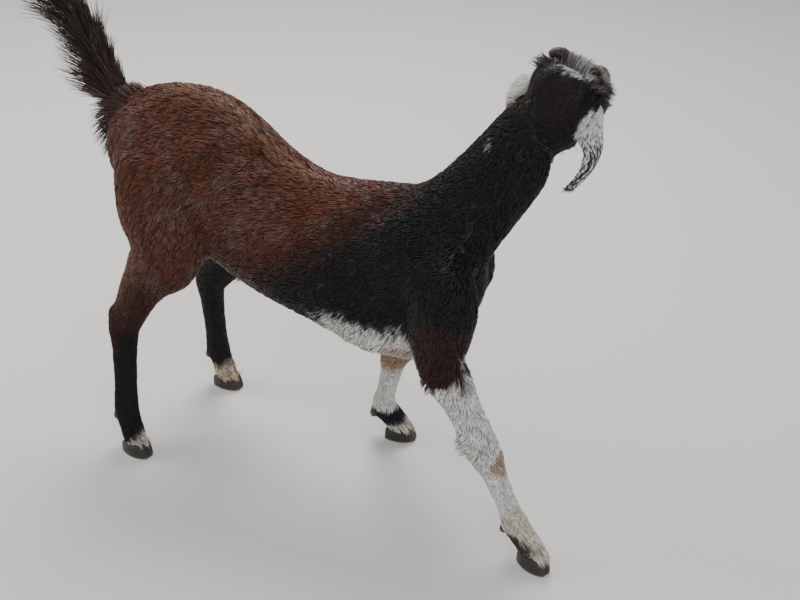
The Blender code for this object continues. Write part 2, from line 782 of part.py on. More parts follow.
def tail(finish):
    """The raised tail: a tapering dock with overlapping locks that flare out to its end."""
    halves = (0.017, 0.016, 0.014, 0.0125, 0.0105, 0.006)
    rows = [(at(*place), half, half * 0.95, Vector((-0.8, 0, -0.4)))
            for place, half in zip((TAIL_ROOT,) + TAIL_RUN, halves)]
    dock = loft("tail", rows, sides=14, steps=3)
    draw = random.Random(11)
    locks = []
    for i in range(TAIL_LOCKS):
        share = 0.12 + 0.86 * (i + draw.random() * 0.6) / TAIL_LOCKS
        place, way = tail_axis(share)
        turn = i * 2.4 + draw.uniform(-0.3, 0.3)
        side = way.cross(Vector((0, 1, 0))).normalized()
        out = side * math.cos(turn) + way.cross(side) * math.sin(turn)
        behind = max(0.0, -out.x)
        grow = (way + out * (0.45 + 0.20 * draw.random() + 0.25 * behind)).normalized()
        length = 0.052 + 0.026 * share + 0.016 * behind + draw.uniform(-0.005, 0.005)
        locks.append(lock(place + out * 0.003, grow, length, 0.0085, out * -0.15 + way * 0.2, out))
    for i in range(SKIRT_LOCKS):
        place, way = tail_axis(0.02 + 0.05 * (i % 3))
        lean = 2 * (i + 0.5) / SKIRT_LOCKS - 1
        grow = Vector((-0.62, 0.45 * lean, -0.45)).normalized()
        locks.append(lock(place + Vector((-0.004, 0.010 * lean, 0.0)), grow, 0.044, 0.0085,
                          Vector((0, 0, -0.5)), Vector((-1, 0, 0.6)).normalized()))
    boolean(dock, locks, "UNION")
    dock.data.materials.clear()
    dock.data.materials.append(finish)
    return dock


FORELOCK = (
    # along the face, to the side, up, then how far the lock leans outwards and forwards
    (0.006, 0.000, 0.000, 0.00, 0.1), (0.014, 0.005, 0.001, 0.20, 0.3),
    (0.022, 0.012, 0.003, 0.35, 0.6), (0.034, 0.020, 0.006, 0.60, 0.7),
    (0.040, 0.030, 0.002, 0.90, 0.5),
)


def forelock():
    """Locks that stand up between the horns and lie outwards over the brows on both sides."""
    draw = random.Random(5)
    locks = []
    for along, across, up, outwards, forwards in FORELOCK:
        for side in (-1, 1):
            root = on_head(along + 0.004 * side, across * side, up)
            grow = (CROWN + HEAD_LEFT * (outwards * side) + FACE * forwards).normalized()
            length = 0.034 - 0.009 * outwards + draw.uniform(-0.002, 0.003)
            locks.append(lock(root, grow, length, 0.0060, FACE * draw.uniform(0.1, 0.5), FACE))
    return locks


# The whole goat

clear_scene()
CHESTNUT = material("chestnut_coat", (0.120, 0.038, 0.020), 0.6)
BLACK = material("black_coat", (0.012, 0.010, 0.012), 0.5)
WHITE = material("white_coat", (0.62, 0.58, 0.52), 0.7)
SPECKLED = material("speckled_coat", (0.45, 0.44, 0.46), 0.7)
DARK_HORN = material("dark_horn", (0.07, 0.05, 0.04), 0.45)
HOOF = material("hoof_horn", (0.05, 0.04, 0.035), 0.4)
EYE = material("eye", (0.16, 0.09, 0.03), 0.05)

torso = flesh()
torso.name = "torso"
head = part_off(torso, "head", (HEAD_CUT,), BLACK)
neck = part_off(torso, "neck", (NECK_CUT,), BLACK)
feet = []
for pair in ("front", "hind"):
    for side in ("right", "left"):
        coat = WHITE if pair == "front" else CHESTNUT
        leg = part_off(torso, f"leg_{pair}_{side}", leg_planes(side, pair), coat)
        foot_name = f"{pair}_{side}"
        boolean(leg, dewclaws(foot_name), "UNION")
        keep_largest(boolean(leg, [foot_block(foot_name)], "DIFFERENCE"))
        for inner_side in (-1, 1):
            claw(foot_name, inner_side, HOOF)
torso.data.materials.append(CHESTNUT)

boolean(head, [lids(-1), lids(1)] + forelock(), "UNION")
boolean(head, [mouth_cut()] + nostril_cuts(), "DIFFERENCE")
for side, lean in (("right", -1), ("left", 1)):
    ball("eye_" + side, eye_place(lean), (EYE_RADIUS,) * 3, HEAD_AXES, EYE, 16, 10)
    boolean(head, [ball("socket", eye_place(lean), (EYE_RADIUS + SWELL,) * 3, HEAD_AXES,
                        None, 16, 10)], "DIFFERENCE")
keep_largest(head)
for side in ("right", "left"):
    clear_of(horn(side, DARK_HORN), head)
    clear_of(clear_of(ear(side, SPECKLED), head), neck)
clear_of(tail(BLACK), torso)
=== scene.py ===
"""The looks of a young Beetal billy goat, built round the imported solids.

Metres, in the solids' own frame: x points from the rump to the chest, y to the goat's left, z up,
with the floor at z = 0. Places on the head are measured from the poll, along the face, to its
left and out of the forehead. Colours are linear.
"""

import math

import bmesh
import bpy
import numpy as np
from mathutils import Matrix, Vector
from mathutils.bvhtree import BVHTree
from mathutils.kdtree import KDTree


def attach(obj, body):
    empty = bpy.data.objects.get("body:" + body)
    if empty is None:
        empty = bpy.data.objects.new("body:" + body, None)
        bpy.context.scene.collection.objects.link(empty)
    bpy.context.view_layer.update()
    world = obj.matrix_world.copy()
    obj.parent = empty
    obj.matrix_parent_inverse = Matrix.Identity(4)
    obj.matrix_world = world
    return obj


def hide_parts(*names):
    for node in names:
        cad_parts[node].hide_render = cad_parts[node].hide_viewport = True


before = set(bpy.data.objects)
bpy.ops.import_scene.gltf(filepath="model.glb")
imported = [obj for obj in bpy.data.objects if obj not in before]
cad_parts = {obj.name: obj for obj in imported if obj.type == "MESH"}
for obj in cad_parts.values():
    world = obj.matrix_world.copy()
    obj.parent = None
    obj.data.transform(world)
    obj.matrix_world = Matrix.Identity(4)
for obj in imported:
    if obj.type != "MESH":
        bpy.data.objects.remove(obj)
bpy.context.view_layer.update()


# The skin. One closed surface under the coat, run over the trunk, neck, legs and a finer skull and
# set in by the depth of the hair. The head turns back to its left with the face down. The lips,
# nostrils and folds of the face are worked in, and the eyes' sockets are sunk.

SIDES = (("right", -1), ("left", 1))
POLL = np.array([0.3860, 0.0619, 0.7010])
HEAD_YAW, HEAD_PITCH, HEAD_TILT = math.radians(106.0), math.radians(43.0), math.radians(21.0)
HEAD_LENGTH = 0.172
SKIN_VOXEL = 0.0041
SWELL = 0.0007
BODY_DEPTH, LEG_DEPTH, FACE_DEPTH = 0.0036, 0.0020, 0.0013
FLESH_NODES = ("torso", "neck", "leg_front_right", "leg_front_left", "leg_hind_right",
               "leg_hind_left")
SKULL = (
    # along the face, top, bottom, half width
    (-0.16, -0.022, -0.072, 0.028), (-0.08, -0.006, -0.082, 0.037), (0.06, 0.004, -0.090, 0.041),
    (0.22, 0.015, -0.094, 0.043), (0.36, 0.018, -0.091, 0.040), (0.48, 0.016, -0.084, 0.034),
    (0.62, 0.010, -0.073, 0.0275), (0.76, -0.001, -0.064, 0.0225), (0.88, -0.014, -0.060, 0.0215),
    (0.96, -0.030, -0.057, 0.0170), (1.00, -0.040, -0.052, 0.0085),
)
SKULL_BALLS = (
    # places on the left of the head and radii, for the sockets, brows, cheeks, ear roots and poll
    ((0.052, 0.032, -0.012), (0.021, 0.014, 0.019)), ((0.050, 0.025, 0.004), (0.027, 0.017, 0.016)),
    ((0.035, 0.018, -0.064), (0.036, 0.018, 0.032)), ((0.006, 0.036, -0.027), (0.017, 0.013, 0.021)),
    ((0.004, 0.024, -0.006), (0.017, 0.016, 0.013)),
)
SKULL_MIDDLE = (0.07, 0, -0.043)
EYE_PLACE = (0.054, 0.0370, -0.0115)
SOCKET_DEEP = 0.0050
# Lines on the left of the head, drawn on to the skin and mirrored to the right
MOUTH_LINE = ((0.110, 0.0250, -0.0500), (0.128, 0.0240, -0.0465), (0.146, 0.0220, -0.0450),
              (0.160, 0.0170, -0.0445), (0.169, 0.0080, -0.0440), (0.176, 0.0, -0.0435))
NOSTRIL_LINE = ((0.1530, 0.0190, -0.0255), (0.1580, 0.0180, -0.0285), (0.1640, 0.0140, -0.0325),
                (0.1690, 0.0080, -0.0350))
NOSE_LINE = ((0.1740, 0.0, -0.0350), (0.1760, 0.0, -0.0425))
FACE_FORMS = (
    # height, then a mound's middle and radii, or a groove's two ends and half width
    (0.0016, (0.050, 0.040, 0.003), (0.016, 0.012, 0.008)),
    (0.0020, (0.056, 0.046, -0.0115), (0.021, 0.020, 0.018)),
    (0.0018, (0.030, 0.036, -0.062), (0.026, 0.02, 0.022)),
    (-0.0022, (0.096, 0.027, -0.046), (0.020, 0.012, 0.014)),
    (-0.0016, (0.068, 0.042, -0.021), (0.098, 0.031, -0.036), 0.0035),
    (-0.0010, (0.040, 0.044, -0.030), (0.062, 0.041, -0.035), 0.0022),
    (0.0016, (0.152, 0.022, -0.042), (0.013, 0.010, 0.007)),
    (0.0034, (0.150, 0.0, -0.058), (0.017, 0.013, 0.010)),
    (0.0012, (0.158, 0.021, -0.0270), (0.008, 0.006, 0.006)),
)


def unit(ways):
    """Each row of vectors at length 1."""
    ways = np.asarray(ways, float)
    return ways / np.maximum(np.linalg.norm(ways, axis=-1, keepdims=True), 1e-12)


def head_axes():
    """The head's own axes: along the face, to its left, out of the forehead."""
    level = Vector((math.cos(HEAD_YAW), math.sin(HEAD_YAW), 0.0))
    face = level * math.cos(HEAD_PITCH) - Vector((0, 0, math.sin(HEAD_PITCH)))
    crown = level * math.sin(HEAD_PITCH) + Vector((0, 0, math.cos(HEAD_PITCH)))
    crown = Matrix.Rotation(HEAD_TILT, 3, face) @ crown
    return np.array([face, crown.cross(face), crown])


HEAD = head_axes()
FACE, LEFT, CROWN = HEAD


def on_head(x, y, z):
    """A place on the head, in the frame."""
    return POLL + np.array([x, y, z], float) @ HEAD


def to_head(points):
    """Places in the frame, as measured on the head."""
    return (np.asarray(points) - POLL) @ HEAD.T


def ease(low, high, value):
    """0 below low, 1 above high, smooth between; low may be the larger."""
    share = np.clip((np.asarray(value, float) - low) / (high - low), 0.0, 1.0)
    return share * share * (3 - 2 * share)


def spline(rows, steps):
    """The rows of numbers with more rows put in smoothly between them."""
    rows = np.asarray(rows, float)
    wide = np.vstack([rows[:1], rows, rows[-1:]])
    t = np.linspace(0, 1, steps, endpoint=False)[:, None]
    run = [0.5 * (2 * b + (c - a) * t + (2 * a - 5 * b + 4 * c - d) * t ** 2
                  + (3 * b - a - 3 * c + d) * t ** 3)
           for a, b, c, d in zip(wide[:-3], wide[1:-2], wide[2:-1], wide[3:])]
    return np.vstack(run + [rows[-1:]])


def bands(rings, count):
    """The faces between neighbouring rings of points, count to a ring."""
    return [(i * count + k, i * count + (k + 1) % count, (i + 1) * count + (k + 1) % count,
             (i + 1) * count + k) for i in range(rings - 1) for k in range(count)]


def tube(rows, sides, steps, egg=0.0):
    """Points, and faces, of a closed body through rows of (centre, half depth, half width, way
    its back faces). The last two points are the middles of its ends."""
    run = spline(rows, steps)
    centres = run[:, :3]
    tangent = unit(np.gradient(centres, axis=0))
    back = run[:, 5:8]
    back = unit(back - tangent * (back * tangent).sum(axis=1, keepdims=True))
    side = np.cross(tangent, back)
    turn = np.arange(sides) * 2 * math.pi / sides
    lift, reach = np.cos(turn), np.sin(turn) * (1 - egg * np.cos(turn))
    verts = (centres[:, None] + back[:, None] * (run[:, 3:4] * lift)[..., None]
             + side[:, None] * (run[:, 4:5] * reach)[..., None]).reshape(-1, 3)
    verts = np.vstack([verts, centres[:1], centres[-1:]])
    faces = bands(len(run), sides)
    first, last, start = len(verts) - 2, len(verts) - 1, (len(run) - 1) * sides
    for k in range(sides):
        faces.append((first, (k + 1) % sides, k))
        faces.append((last, start + k, start + (k + 1) % sides))
    return verts, faces


def placed(name, data):
    """A new object in the scene."""
    item = bpy.data.objects.new(name, data)
    bpy.context.scene.collection.objects.link(item)
    return item


def merged(node):
    """A copy of a solid as one closed mesh, swollen a little so that neighbours meet."""
    work = bmesh.new()
    work.from_mesh(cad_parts[node].data)
    bmesh.ops.remove_doubles(work, verts=work.verts, dist=1e-5)
    work.normal_update()
    for vert in work.verts:
        vert.co += vert.normal * SWELL
    return work


def add_ball(work, centre, radii):
    """Adds an ellipsoid, whose radii point along the head's axes."""
    made = bmesh.ops.create_uvsphere(work, u_segments=24, v_segments=16, radius=1.0)
    for vert in made["verts"]:
        vert.co = Vector(centre + (np.array(vert.co) * radii) @ HEAD)


def bake_modifiers(item):
    """The object's mesh as its modifiers leave it."""
    graph = bpy.context.evaluated_depsgraph_get()
    mesh = bpy.data.meshes.new_from_object(item.evaluated_get(graph))
    item.modifiers.clear()
    item.data = mesh


def raw_skin():
    """The solids' flesh and a skull, joined and evened out."""
    whole = bmesh.new()
    for node in FLESH_NODES:
        part = merged(node)
        mesh = bpy.data.meshes.new(node)
        part.to_mesh(mesh)
        whole.from_mesh(mesh)
        part.free()
        bpy.data.meshes.remove(mesh)
    rows = [[*on_head(x * HEAD_LENGTH, 0, (high + low) / 2), (high - low) / 2, wide, *CROWN]
            for x, high, low, wide in SKULL]
    verts, faces = tube(rows, 32, 6, egg=-0.18)
    made = [whole.verts.new(v) for v in verts]
    for face in faces:
        whole.faces.new([made[i] for i in face])
    for _, lean in SIDES:
        for (x, y, z), radii in SKULL_BALLS:
            add_ball(whole, on_head(x, lean * y, z), radii)
    mesh = bpy.data.meshes.new("skin")
    whole.to_mesh(mesh)
    whole.free()
    item = placed("skin", mesh)
    even = item.modifiers.new("even", "REMESH")
    even.mode = "VOXEL"
    even.voxel_size = SKIN_VOXEL
    smooth = item.modifiers.new("smooth", "SMOOTH")
    smooth.factor = 0.5
    smooth.iterations = 10
    bake_modifiers(item)
    return item


def refine(item, near):
    """Splits the faces whose middles near() accepts, and evens out what the splits leave."""
    work = bmesh.new()
    work.from_mesh(item.data)
    centres = np.array([f.calc_center_median() for f in work.faces])
    chosen = [f for f, ok in zip(work.faces, near(centres)) if ok]
    edges = list({e for f in chosen for e in f.edges})
    bmesh.ops.subdivide_edges(work, edges=edges, cuts=1, use_grid_fill=True)
    bmesh.ops.triangulate(work, faces=[f for f in work.faces if len(f.verts) > 4])
    places = np.array([v.co for v in work.verts])
    soft = [v for v, ok in zip(work.verts, near(places)) if ok]
    for _ in range(2):
        bmesh.ops.smooth_vert(work, verts=soft, factor=0.5, use_axis_x=True, use_axis_y=True,
                              use_axis_z=True)
    bmesh.ops.triangulate(work, faces=work.faces)
    work.to_mesh(item.data)
    work.free()


def near_head(points):
    """A test for places on the head."""
    local = to_head(points)
    along = np.clip(local[:, 0], 0.0, 0.165)
    away = np.stack([local[:, 0] - along, local[:, 1], local[:, 2] + 0.043], axis=1)
    return np.linalg.norm(away, axis=1) < 0.058


def near_features(points):
    """A test for places round the eyes and on the muzzle."""
    local = to_head(points)
    eyes = np.minimum(*(np.linalg.norm(local - (0.054, side * 0.040, -0.0115), axis=1)
                        for side in (-1, 1)))
    muzzle = np.linalg.norm(local - (0.163, 0, -0.045), axis=1)
    return (eyes < 0.018) | (muzzle < 0.031)


def normals_of(mesh):
    out = np.empty(len(mesh.vertices) * 3, np.float32)
    mesh.vertex_normals.foreach_get("vector", out)
    return out.reshape(-1, 3).astype(float)


def places_of(mesh):
    out = np.empty(len(mesh.vertices) * 3, np.float32)
    mesh.vertices.foreach_get("co", out)
    return out.reshape(-1, 3).astype(float)


def mound(local, place, radii):
    """1 at a place on the head and on its mirror image, falling to 0 round it."""
    own = (local[:, 0], np.abs(local[:, 1]), local[:, 2])
    return np.exp(-sum(((a - b) / c) ** 2 for a, b, c in zip(own, place, radii)))


def off_line(points, start, end):
    """How far each place is from the straight line between two."""
    run = end - start
    share = np.clip(((points - start) @ run) / (run @ run), 0, 1)
    return np.linalg.norm(points - start - share[:, None] * run, axis=1)


def groove(local, start, end, wide):
    """1 along a line on the head and on its mirror image, falling to 0 beside it."""
    own = np.stack([local[:, 0], np.abs(local[:, 1]), local[:, 2]], axis=1)
    return np.exp(-(off_line(own, np.array(start), np.array(end)) / wide) ** 2)


def drawn_on(mesh, line):
    """The places nearest to the line's on the mesh, measured on the head."""
    tree = BVHTree.FromPolygons([v.co for v in mesh.vertices],
                                [tuple(f.vertices) for f in mesh.polygons])
    return to_head([tree.find_nearest(Vector(on_head(*spot)))[0] for spot in line])


def crease(local, line, wide):
    """1 along a line of several stretches, falling to 0 beside it."""
    return np.maximum.reduce([groove(local, a, b, wide) for a, b in zip(line[:-1], line[1:])])


def near_creases(points):
    """A test for places beside the mouth and the nostrils."""
    local = to_head(points)
    return np.maximum(crease(local, MOUTH, 0.0050), crease(local, NOSTRIL, 0.0050)) > 0.37


def face_depth(local):
    """How far out the skin of the face stands, in metres: brows, folds, lips and nostrils."""
    out = np.zeros(len(local))
    for height, *form in FACE_FORMS:
        out += height * (mound if len(form) == 2 else groove)(local, *form)
    out += 0.0013 * crease(local, MOUTH, 0.0044) - 0.0050 * crease(local, MOUTH, 0.0013)
    out -= 0.0014 * crease(local, NOSE, 0.0012)
    out += 0.0016 * crease(local, NOSTRIL, 0.0048)
    return out - 0.0088 * crease(local, NOSTRIL, 0.0019)


def eye_axes(side):
    """The eye's own axes: along the slit of the lids, up across it, and the way it looks."""
    look = unit(LEFT * (side * 0.92) + FACE * 0.34 + CROWN * 0.12)
    along = FACE * 0.92 + CROWN * 0.30
    along = unit(along - look * (along @ look))
    up = np.cross(look, along)
    return along, up if up @ CROWN > 0 else -up, look


EYES = {side: on_head(EYE_PLACE[0], lean * EYE_PLACE[1], EYE_PLACE[2]) for side, lean in SIDES}


def socket_share(points):
    """1 inside the opening of the lids, 0 away from it."""
    share = np.zeros(len(points))
    for side, lean in SIDES:
        along, up, look = eye_axes(lean)
        off = points - EYES[side]
        flat = np.hypot((off @ along) / 0.0150, (off @ up) / 0.0118)
        share = np.maximum(share, ease(1.0, 0.72, flat) * ((off @ look) > 0))
    return share


def skull_share(local, inner):
    """1 on the head and 0 beyond it, at places measured on the head."""
    return ease(0.066, inner, np.linalg.norm((local - SKULL_MIDDLE) * (0.55, 1, 1), axis=1))


def rib_height(points):
    """How far out the skin stands over the ribs."""
    x, y, z = points.T
    ribs = np.sin((x + 0.35 * z) * 2 * math.pi / 0.021)
    on_ribs = ease(0.05, 0.09, x) * ease(0.22, 0.17, x) * ease(0.28, 0.33, z) * ease(0.46, 0.40, z)
    return 0.0006 * ribs * on_ribs * ease(0.02, 0.05, np.abs(y - 0.005))


def sculpt(mesh):
    """Sets the skin in by the hair's depth, and works the face and the ribs into it."""
    places, normals = places_of(mesh), normals_of(mesh)
    local = to_head(places)
    depth = BODY_DEPTH + (LEG_DEPTH - BODY_DEPTH) * ease(0.30, 0.20, places[:, 2])
    on_face = skull_share(local, 0.050)
    depth = depth + (FACE_DEPTH - depth) * on_face
    out = face_depth(local) * on_face + rib_height(places)
    out -= SOCKET_DEEP * socket_share(places)
    places = places + normals * (out - depth - SWELL)[:, None]
    mesh.vertices.foreach_set("co", places.astype(np.float32).ravel())
    mesh.update()


skin = raw_skin()
refine(skin, near_head)
refine(skin, near_features)
MOUTH, NOSTRIL, NOSE = (drawn_on(skin.data, line) for line in (MOUTH_LINE, NOSTRIL_LINE, NOSE_LINE))
refine(skin, near_creases)
sculpt(skin.data)


# The markings. Chestnut behind, black in front and below, white forelegs and sternum, with a ragged
# line where they meet, and painted shade: black between the hind legs and a darker lower flank. One
# function gives the colour at any place on the body, and the skin and every lock of hair take theirs
# from it.

CHESTNUT, BLACK, DARK_RED = (0.100, 0.028, 0.012), (0.0046, 0.0046, 0.0062), (0.034, 0.007, 0.004)
ORANGE, TAN, CREAM = (0.190, 0.075, 0.033), (0.330, 0.180, 0.090), (0.560, 0.440, 0.310)
WHITE, SPINE_TAN, GREY = (0.720, 0.700, 0.660), (0.230, 0.115, 0.068), (0.30, 0.29, 0.29)
OFF_WHITE = CREAM + 0.5 * (np.array(WHITE) - CREAM)
MUZZLE, BARE = (0.030, 0.020, 0.018), (0.012, 0.009, 0.008)
MIDDLE = 0.012
# painted shade: the skin under the coat is darkened to this share of the coat's colour
SKIN_PAINTED_SHADE = 0.60


def finish_of(name, roughness, colour=None, specular=0.5, sheen=0.0, wet=0.0):
    """A Principled finish, of one colour or of the points' own colours."""
    finish = bpy.data.materials.new(name)
    finish.use_nodes = True
    shader = finish.node_tree.nodes["Principled BSDF"]
    for label, value in (("Roughness", roughness), ("Specular IOR Level", specular),
                         ("Sheen Weight", sheen), ("Coat Weight", wet), ("Coat Roughness", 0.03)):
        shader.inputs[label].default_value = value
    if colour:
        shader.inputs["Base Color"].default_value = (*colour, 1.0)
        return finish
    own = finish.node_tree.nodes.new("ShaderNodeAttribute")
    own.attribute_name = "tint"
    finish.node_tree.links.new(own.outputs["Color"], shader.inputs["Base Color"])
    return finish


def shader_node(tree, kind, values=()):
    """A new shader node, with values for its inputs by name."""
    node = tree.nodes.new("ShaderNode" + kind)
    for label, value in dict(values).items():
        node.inputs[label].default_value = value
    return node


def join(tree, *links):
    """Links nodes, each link as (from, output, to, input)."""
    for source, out, target, into in links:
        tree.links.new(source.outputs[out], target.inputs[into])


def grain_on(finish, scale, share, stretch=(1, 1, 1)):
    """Adds a fine bump to a finish: how many grains a metre, and how deep."""
    tree = finish.node_tree
    where = shader_node(tree, "TexCoord")
    place = shader_node(tree, "Mapping", {"Scale": stretch})
    noise = shader_node(tree, "TexNoise", {"Scale": scale, "Detail": 4.0})
    bump = shader_node(tree, "Bump", {"Strength": share, "Distance": 0.001})
    join(tree, (where, "Object", place, "Vector"), (place, "Vector", noise, "Vector"),
         (noise, "Fac", bump, "Height"), (bump, "Normal", tree.nodes["Principled BSDF"], "Normal"))
    return finish


def paint(mesh, tint):
    """Stores a colour on each point of the mesh."""
    layer = mesh.color_attributes.new(name="tint", type="FLOAT_COLOR", domain="POINT")
    full = np.ones((len(mesh.vertices), 4), np.float32)
    full[:, :3] = tint
    layer.data.foreach_set("color", full.ravel())


def ripple(points, size, seed):
    """A smooth field of numbers round 0, with features of about the size given."""
    draw = np.random.default_rng(seed)
    waves = unit(draw.normal(size=(9, 3))) * (2 * math.pi / size) * draw.uniform(0.6, 1.5, (9, 1))
    return np.sin(points @ waves.T + draw.uniform(0, 2 * math.pi, 9)).sum(axis=1) / 3.0


def spot(points, centre, radii, ragged):
    """1 inside an ellipsoid and 0 outside, with an edge that the ragged field moves."""
    off = np.linalg.norm((points - np.array(centre)) / np.array(radii), axis=1)
    return ease(1.25, 0.80, off + ragged)


def markings_and_shade(points, normals):
    """The coat's colour at each place, with the skin's outward ways there; it holds painted shade in
    the groin and on the lower flanks.
    """
    x, y, z = points.T
    fine = ripple(points, 0.011, 3) * 0.5 + ripple(points, 0.028, 4) * 0.5
    tint = np.tile(np.array(CHESTNUT), (len(points), 1))
    right, left = y < MIDDLE, y >= MIDDLE
    hind, fore = x < -0.09, x >= -0.09

    def lay(colour, share):
        tint[:] += (np.array(colour) - tint) * np.clip(share, 0, 1)[:, None]

    def dab(colour, share, centre, radii, rough=0.16, where=True):
        lay(colour, share * spot(points, centre, radii, rough * fine) * where)

    # the back, the thighs and the line between chestnut and black
    spine = np.exp(-((y - MIDDLE) / 0.011) ** 2) * ease(0.45, 0.85, normals[:, 2])
    lay(SPINE_TAN, 0.5 * spine * ease(0.16, 0.02, x) * ease(-0.24, -0.16, x))
    # darker lower flanks and belly: partly the coat's own dark red, partly painted shade
    lay(DARK_RED, 0.70 * ease(0.44, 0.34, z + 0.02 * fine) * ease(-0.16, -0.08, x))
    dab(ORANGE, 0.7, (-0.262, -0.080, 0.330), (0.045, 0.060, 0.085), where=hind)
    dab(ORANGE, 0.5, (-0.245, 0.095, 0.325), (0.045, 0.040, 0.085), where=hind)
    front = (x - 0.145) * 0.75 + (0.47 - z) * 0.85 + 0.016 * fine
    lay(BLACK, np.maximum(ease(-0.055, 0.045, front), ease(0.19, 0.24, x + 0.01 * fine)) * fore)
    # the hind legs
    # painted shade: black between the hind legs, in the groin
    inner = ease(0.035, 0.010, np.abs(y - MIDDLE)) * ease(0.36, 0.32, z)
    lay(BLACK, inner * hind)
    shank = z + 0.012 * fine - 0.55 * np.clip(x + 0.262, -0.03, 0.06)
    lay(DARK_RED, 0.80 * ease(0.330, 0.225, shank) * hind * right)
    lay(BLACK, 0.95 * ease(0.225, 0.155, shank) * hind * right)
    lay(BLACK, 0.95 * ease(0.335, 0.265, z + 0.012 * fine) * hind * left)
    dab(DARK_RED, 0.8, (-0.276, -0.085, 0.18), (0.016, 0.03, 0.055), where=hind)
    dab(OFF_WHITE, 1, (-0.185, -0.140, 0.024), (0.034, 0.032, 0.028))
    dab(CREAM, 1, (-0.188, 0.072, 0.030), (0.032, 0.030, 0.028))
    # the breast and the sternum
    dab(DARK_RED, 0.85, (0.285, -0.075, 0.315), (0.055, 0.045, 0.055))
    dab(DARK_RED, 0.75, (0.225, 0.100, 0.315), (0.050, 0.045, 0.050))
    apron = ease(0.330, 0.310, z + 0.010 * fine - 0.12 * np.clip(0.17 - x, 0, 0.1) + 0.03 * left)
    apron = apron * ease(0.080, 0.112, x + 0.012 * fine)
    lay(WHITE, apron * ease(0.245, 0.215, x + 0.5 * z - 0.15))
    # the forelegs
    point = 0.272 - 0.45 * np.abs(x - 0.305) + 0.010 * fine
    lay(WHITE, ease(0.010, -0.006, z - np.maximum(point, 0.245)) * (x > 0.22) * right)
    dab(WHITE, 1, (0.324, -0.030, 0.298), (0.020, 0.030, 0.036))
    lay(WHITE, ease(0.262, 0.235, z + 0.010 * fine) * (x > 0.02) * left)
    dab(TAN, 0.9, (0.138, 0.070, 0.205), (0.045, 0.045, 0.048), where=left)
    dab(TAN, 0.6, (0.205, -0.034, 0.276), (0.026, 0.022, 0.024))
    dab(TAN, 0.75, (0.376, -0.046, 0.160), (0.018, 0.024, 0.020))
    dab(CREAM, 0.6, (0.425, -0.060, 0.060), (0.040, 0.040, 0.035))
    dab(BLACK, 0.95, (0.408, -0.062, 0.032), (0.026, 0.036, 0.026))
    dab(BLACK, 1, (0.108, 0.094, 0.051), (0.034, 0.034, 0.015), 0.16 * 0.6, left)
    dab(OFF_WHITE, 0.95, (0.138, 0.101, 0.026), (0.034, 0.034, 0.016), where=left)
    # the neck, cheeks, ear roots, poll and muzzle
    dab(DARK_RED, 0.65, (0.330, 0.030, 0.674), (0.026, 0.024, 0.028), 0.32)
    dab(DARK_RED, 0.45, (0.400, 0.004, 0.680), (0.032, 0.020, 0.030), 0.32)
    dab(GREY, 0.6, (0.308, 0.000, 0.612), (0.0035, 0.006, 0.010), 0.16 * 0.3)
    dab(WHITE, 1, (0.417, 0.036, 0.647), (0.012, 0.013, 0.019))
    local = to_head(points)
    blaze = ease(0.016, 0.006, np.abs(local[:, 1]) + 0.004 * fine) * ease(-0.005, 0.01, local[:, 0])
    blaze *= ease(0.075, 0.05, local[:, 0]) * ease(-0.03, -0.015, local[:, 2])
    lay(GREY, 0.75 * blaze)
    dab(WHITE, 0.85, (0.394, 0.050, 0.706), (0.017, 0.015, 0.013), 0.32)
    muzzle = ease(0.150, 0.172, local[:, 0] + 0.004 * fine)
    lay(MUZZLE, muzzle * (np.linalg.norm(local, axis=1) < 0.22))
    return tint


def unwrap(item):
    """Lays the mesh's own surface out flat, for the bake."""
    item.data.uv_layers.new(name="OFBake")
    bpy.context.view_layer.objects.active = item
    item.select_set(True)
    bpy.ops.object.mode_set(mode="EDIT")
    bpy.ops.mesh.select_all(action="SELECT")
    bpy.ops.uv.smart_project(angle_limit=math.radians(66), island_margin=0.003)
    bpy.ops.object.mode_set(mode="OBJECT")
    item.select_set(False)


HIDE = grain_on(finish_of("hide", 0.55), 900.0, 0.25)
# the skin is painted darker than the hair over it, as painted shade in the coat
skin_tint = SKIN_PAINTED_SHADE * markings_and_shade(places_of(skin.data), normals_of(skin.data))
skin_tint += (np.array(BARE) - skin_tint) * socket_share(places_of(skin.data))[:, None]
paint(skin.data, skin_tint)
skin.data.materials.clear()
skin.data.materials.append(HIDE)
skin.data.polygons.foreach_set("use_smooth", np.ones(len(skin.data.polygons), bool))
unwrap(skin)
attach(skin, "root")
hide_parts("head", *FLESH_NODES)


# The eyes. Each is a wet ball that bulges at the cornea, with an amber iris, the level slot of a
# goat's pupil and a dark rim, painted on its points.

EYE_RADIUS = 0.0113
AMBER, IRIS_RIM, EYE_WHITE = (0.36, 0.185, 0.045), (0.020, 0.013, 0.010), (0.20, 0.13, 0.11)
PUPIL = (0.003, 0.003, 0.004)


def object_of(name, verts, faces, finish, tint):
    """A smooth-shaded mesh object from points and faces, each point with its own colour."""
    mesh = bpy.data.meshes.new(name)
    mesh.from_pydata([tuple(v) for v in verts], [], [tuple(int(i) for i in f) for f in faces])
    mesh.polygons.foreach_set("use_smooth", np.ones(len(mesh.polygons), bool))
    mesh.materials.append(finish)
    paint(mesh, tint)
    return placed(name, mesh)


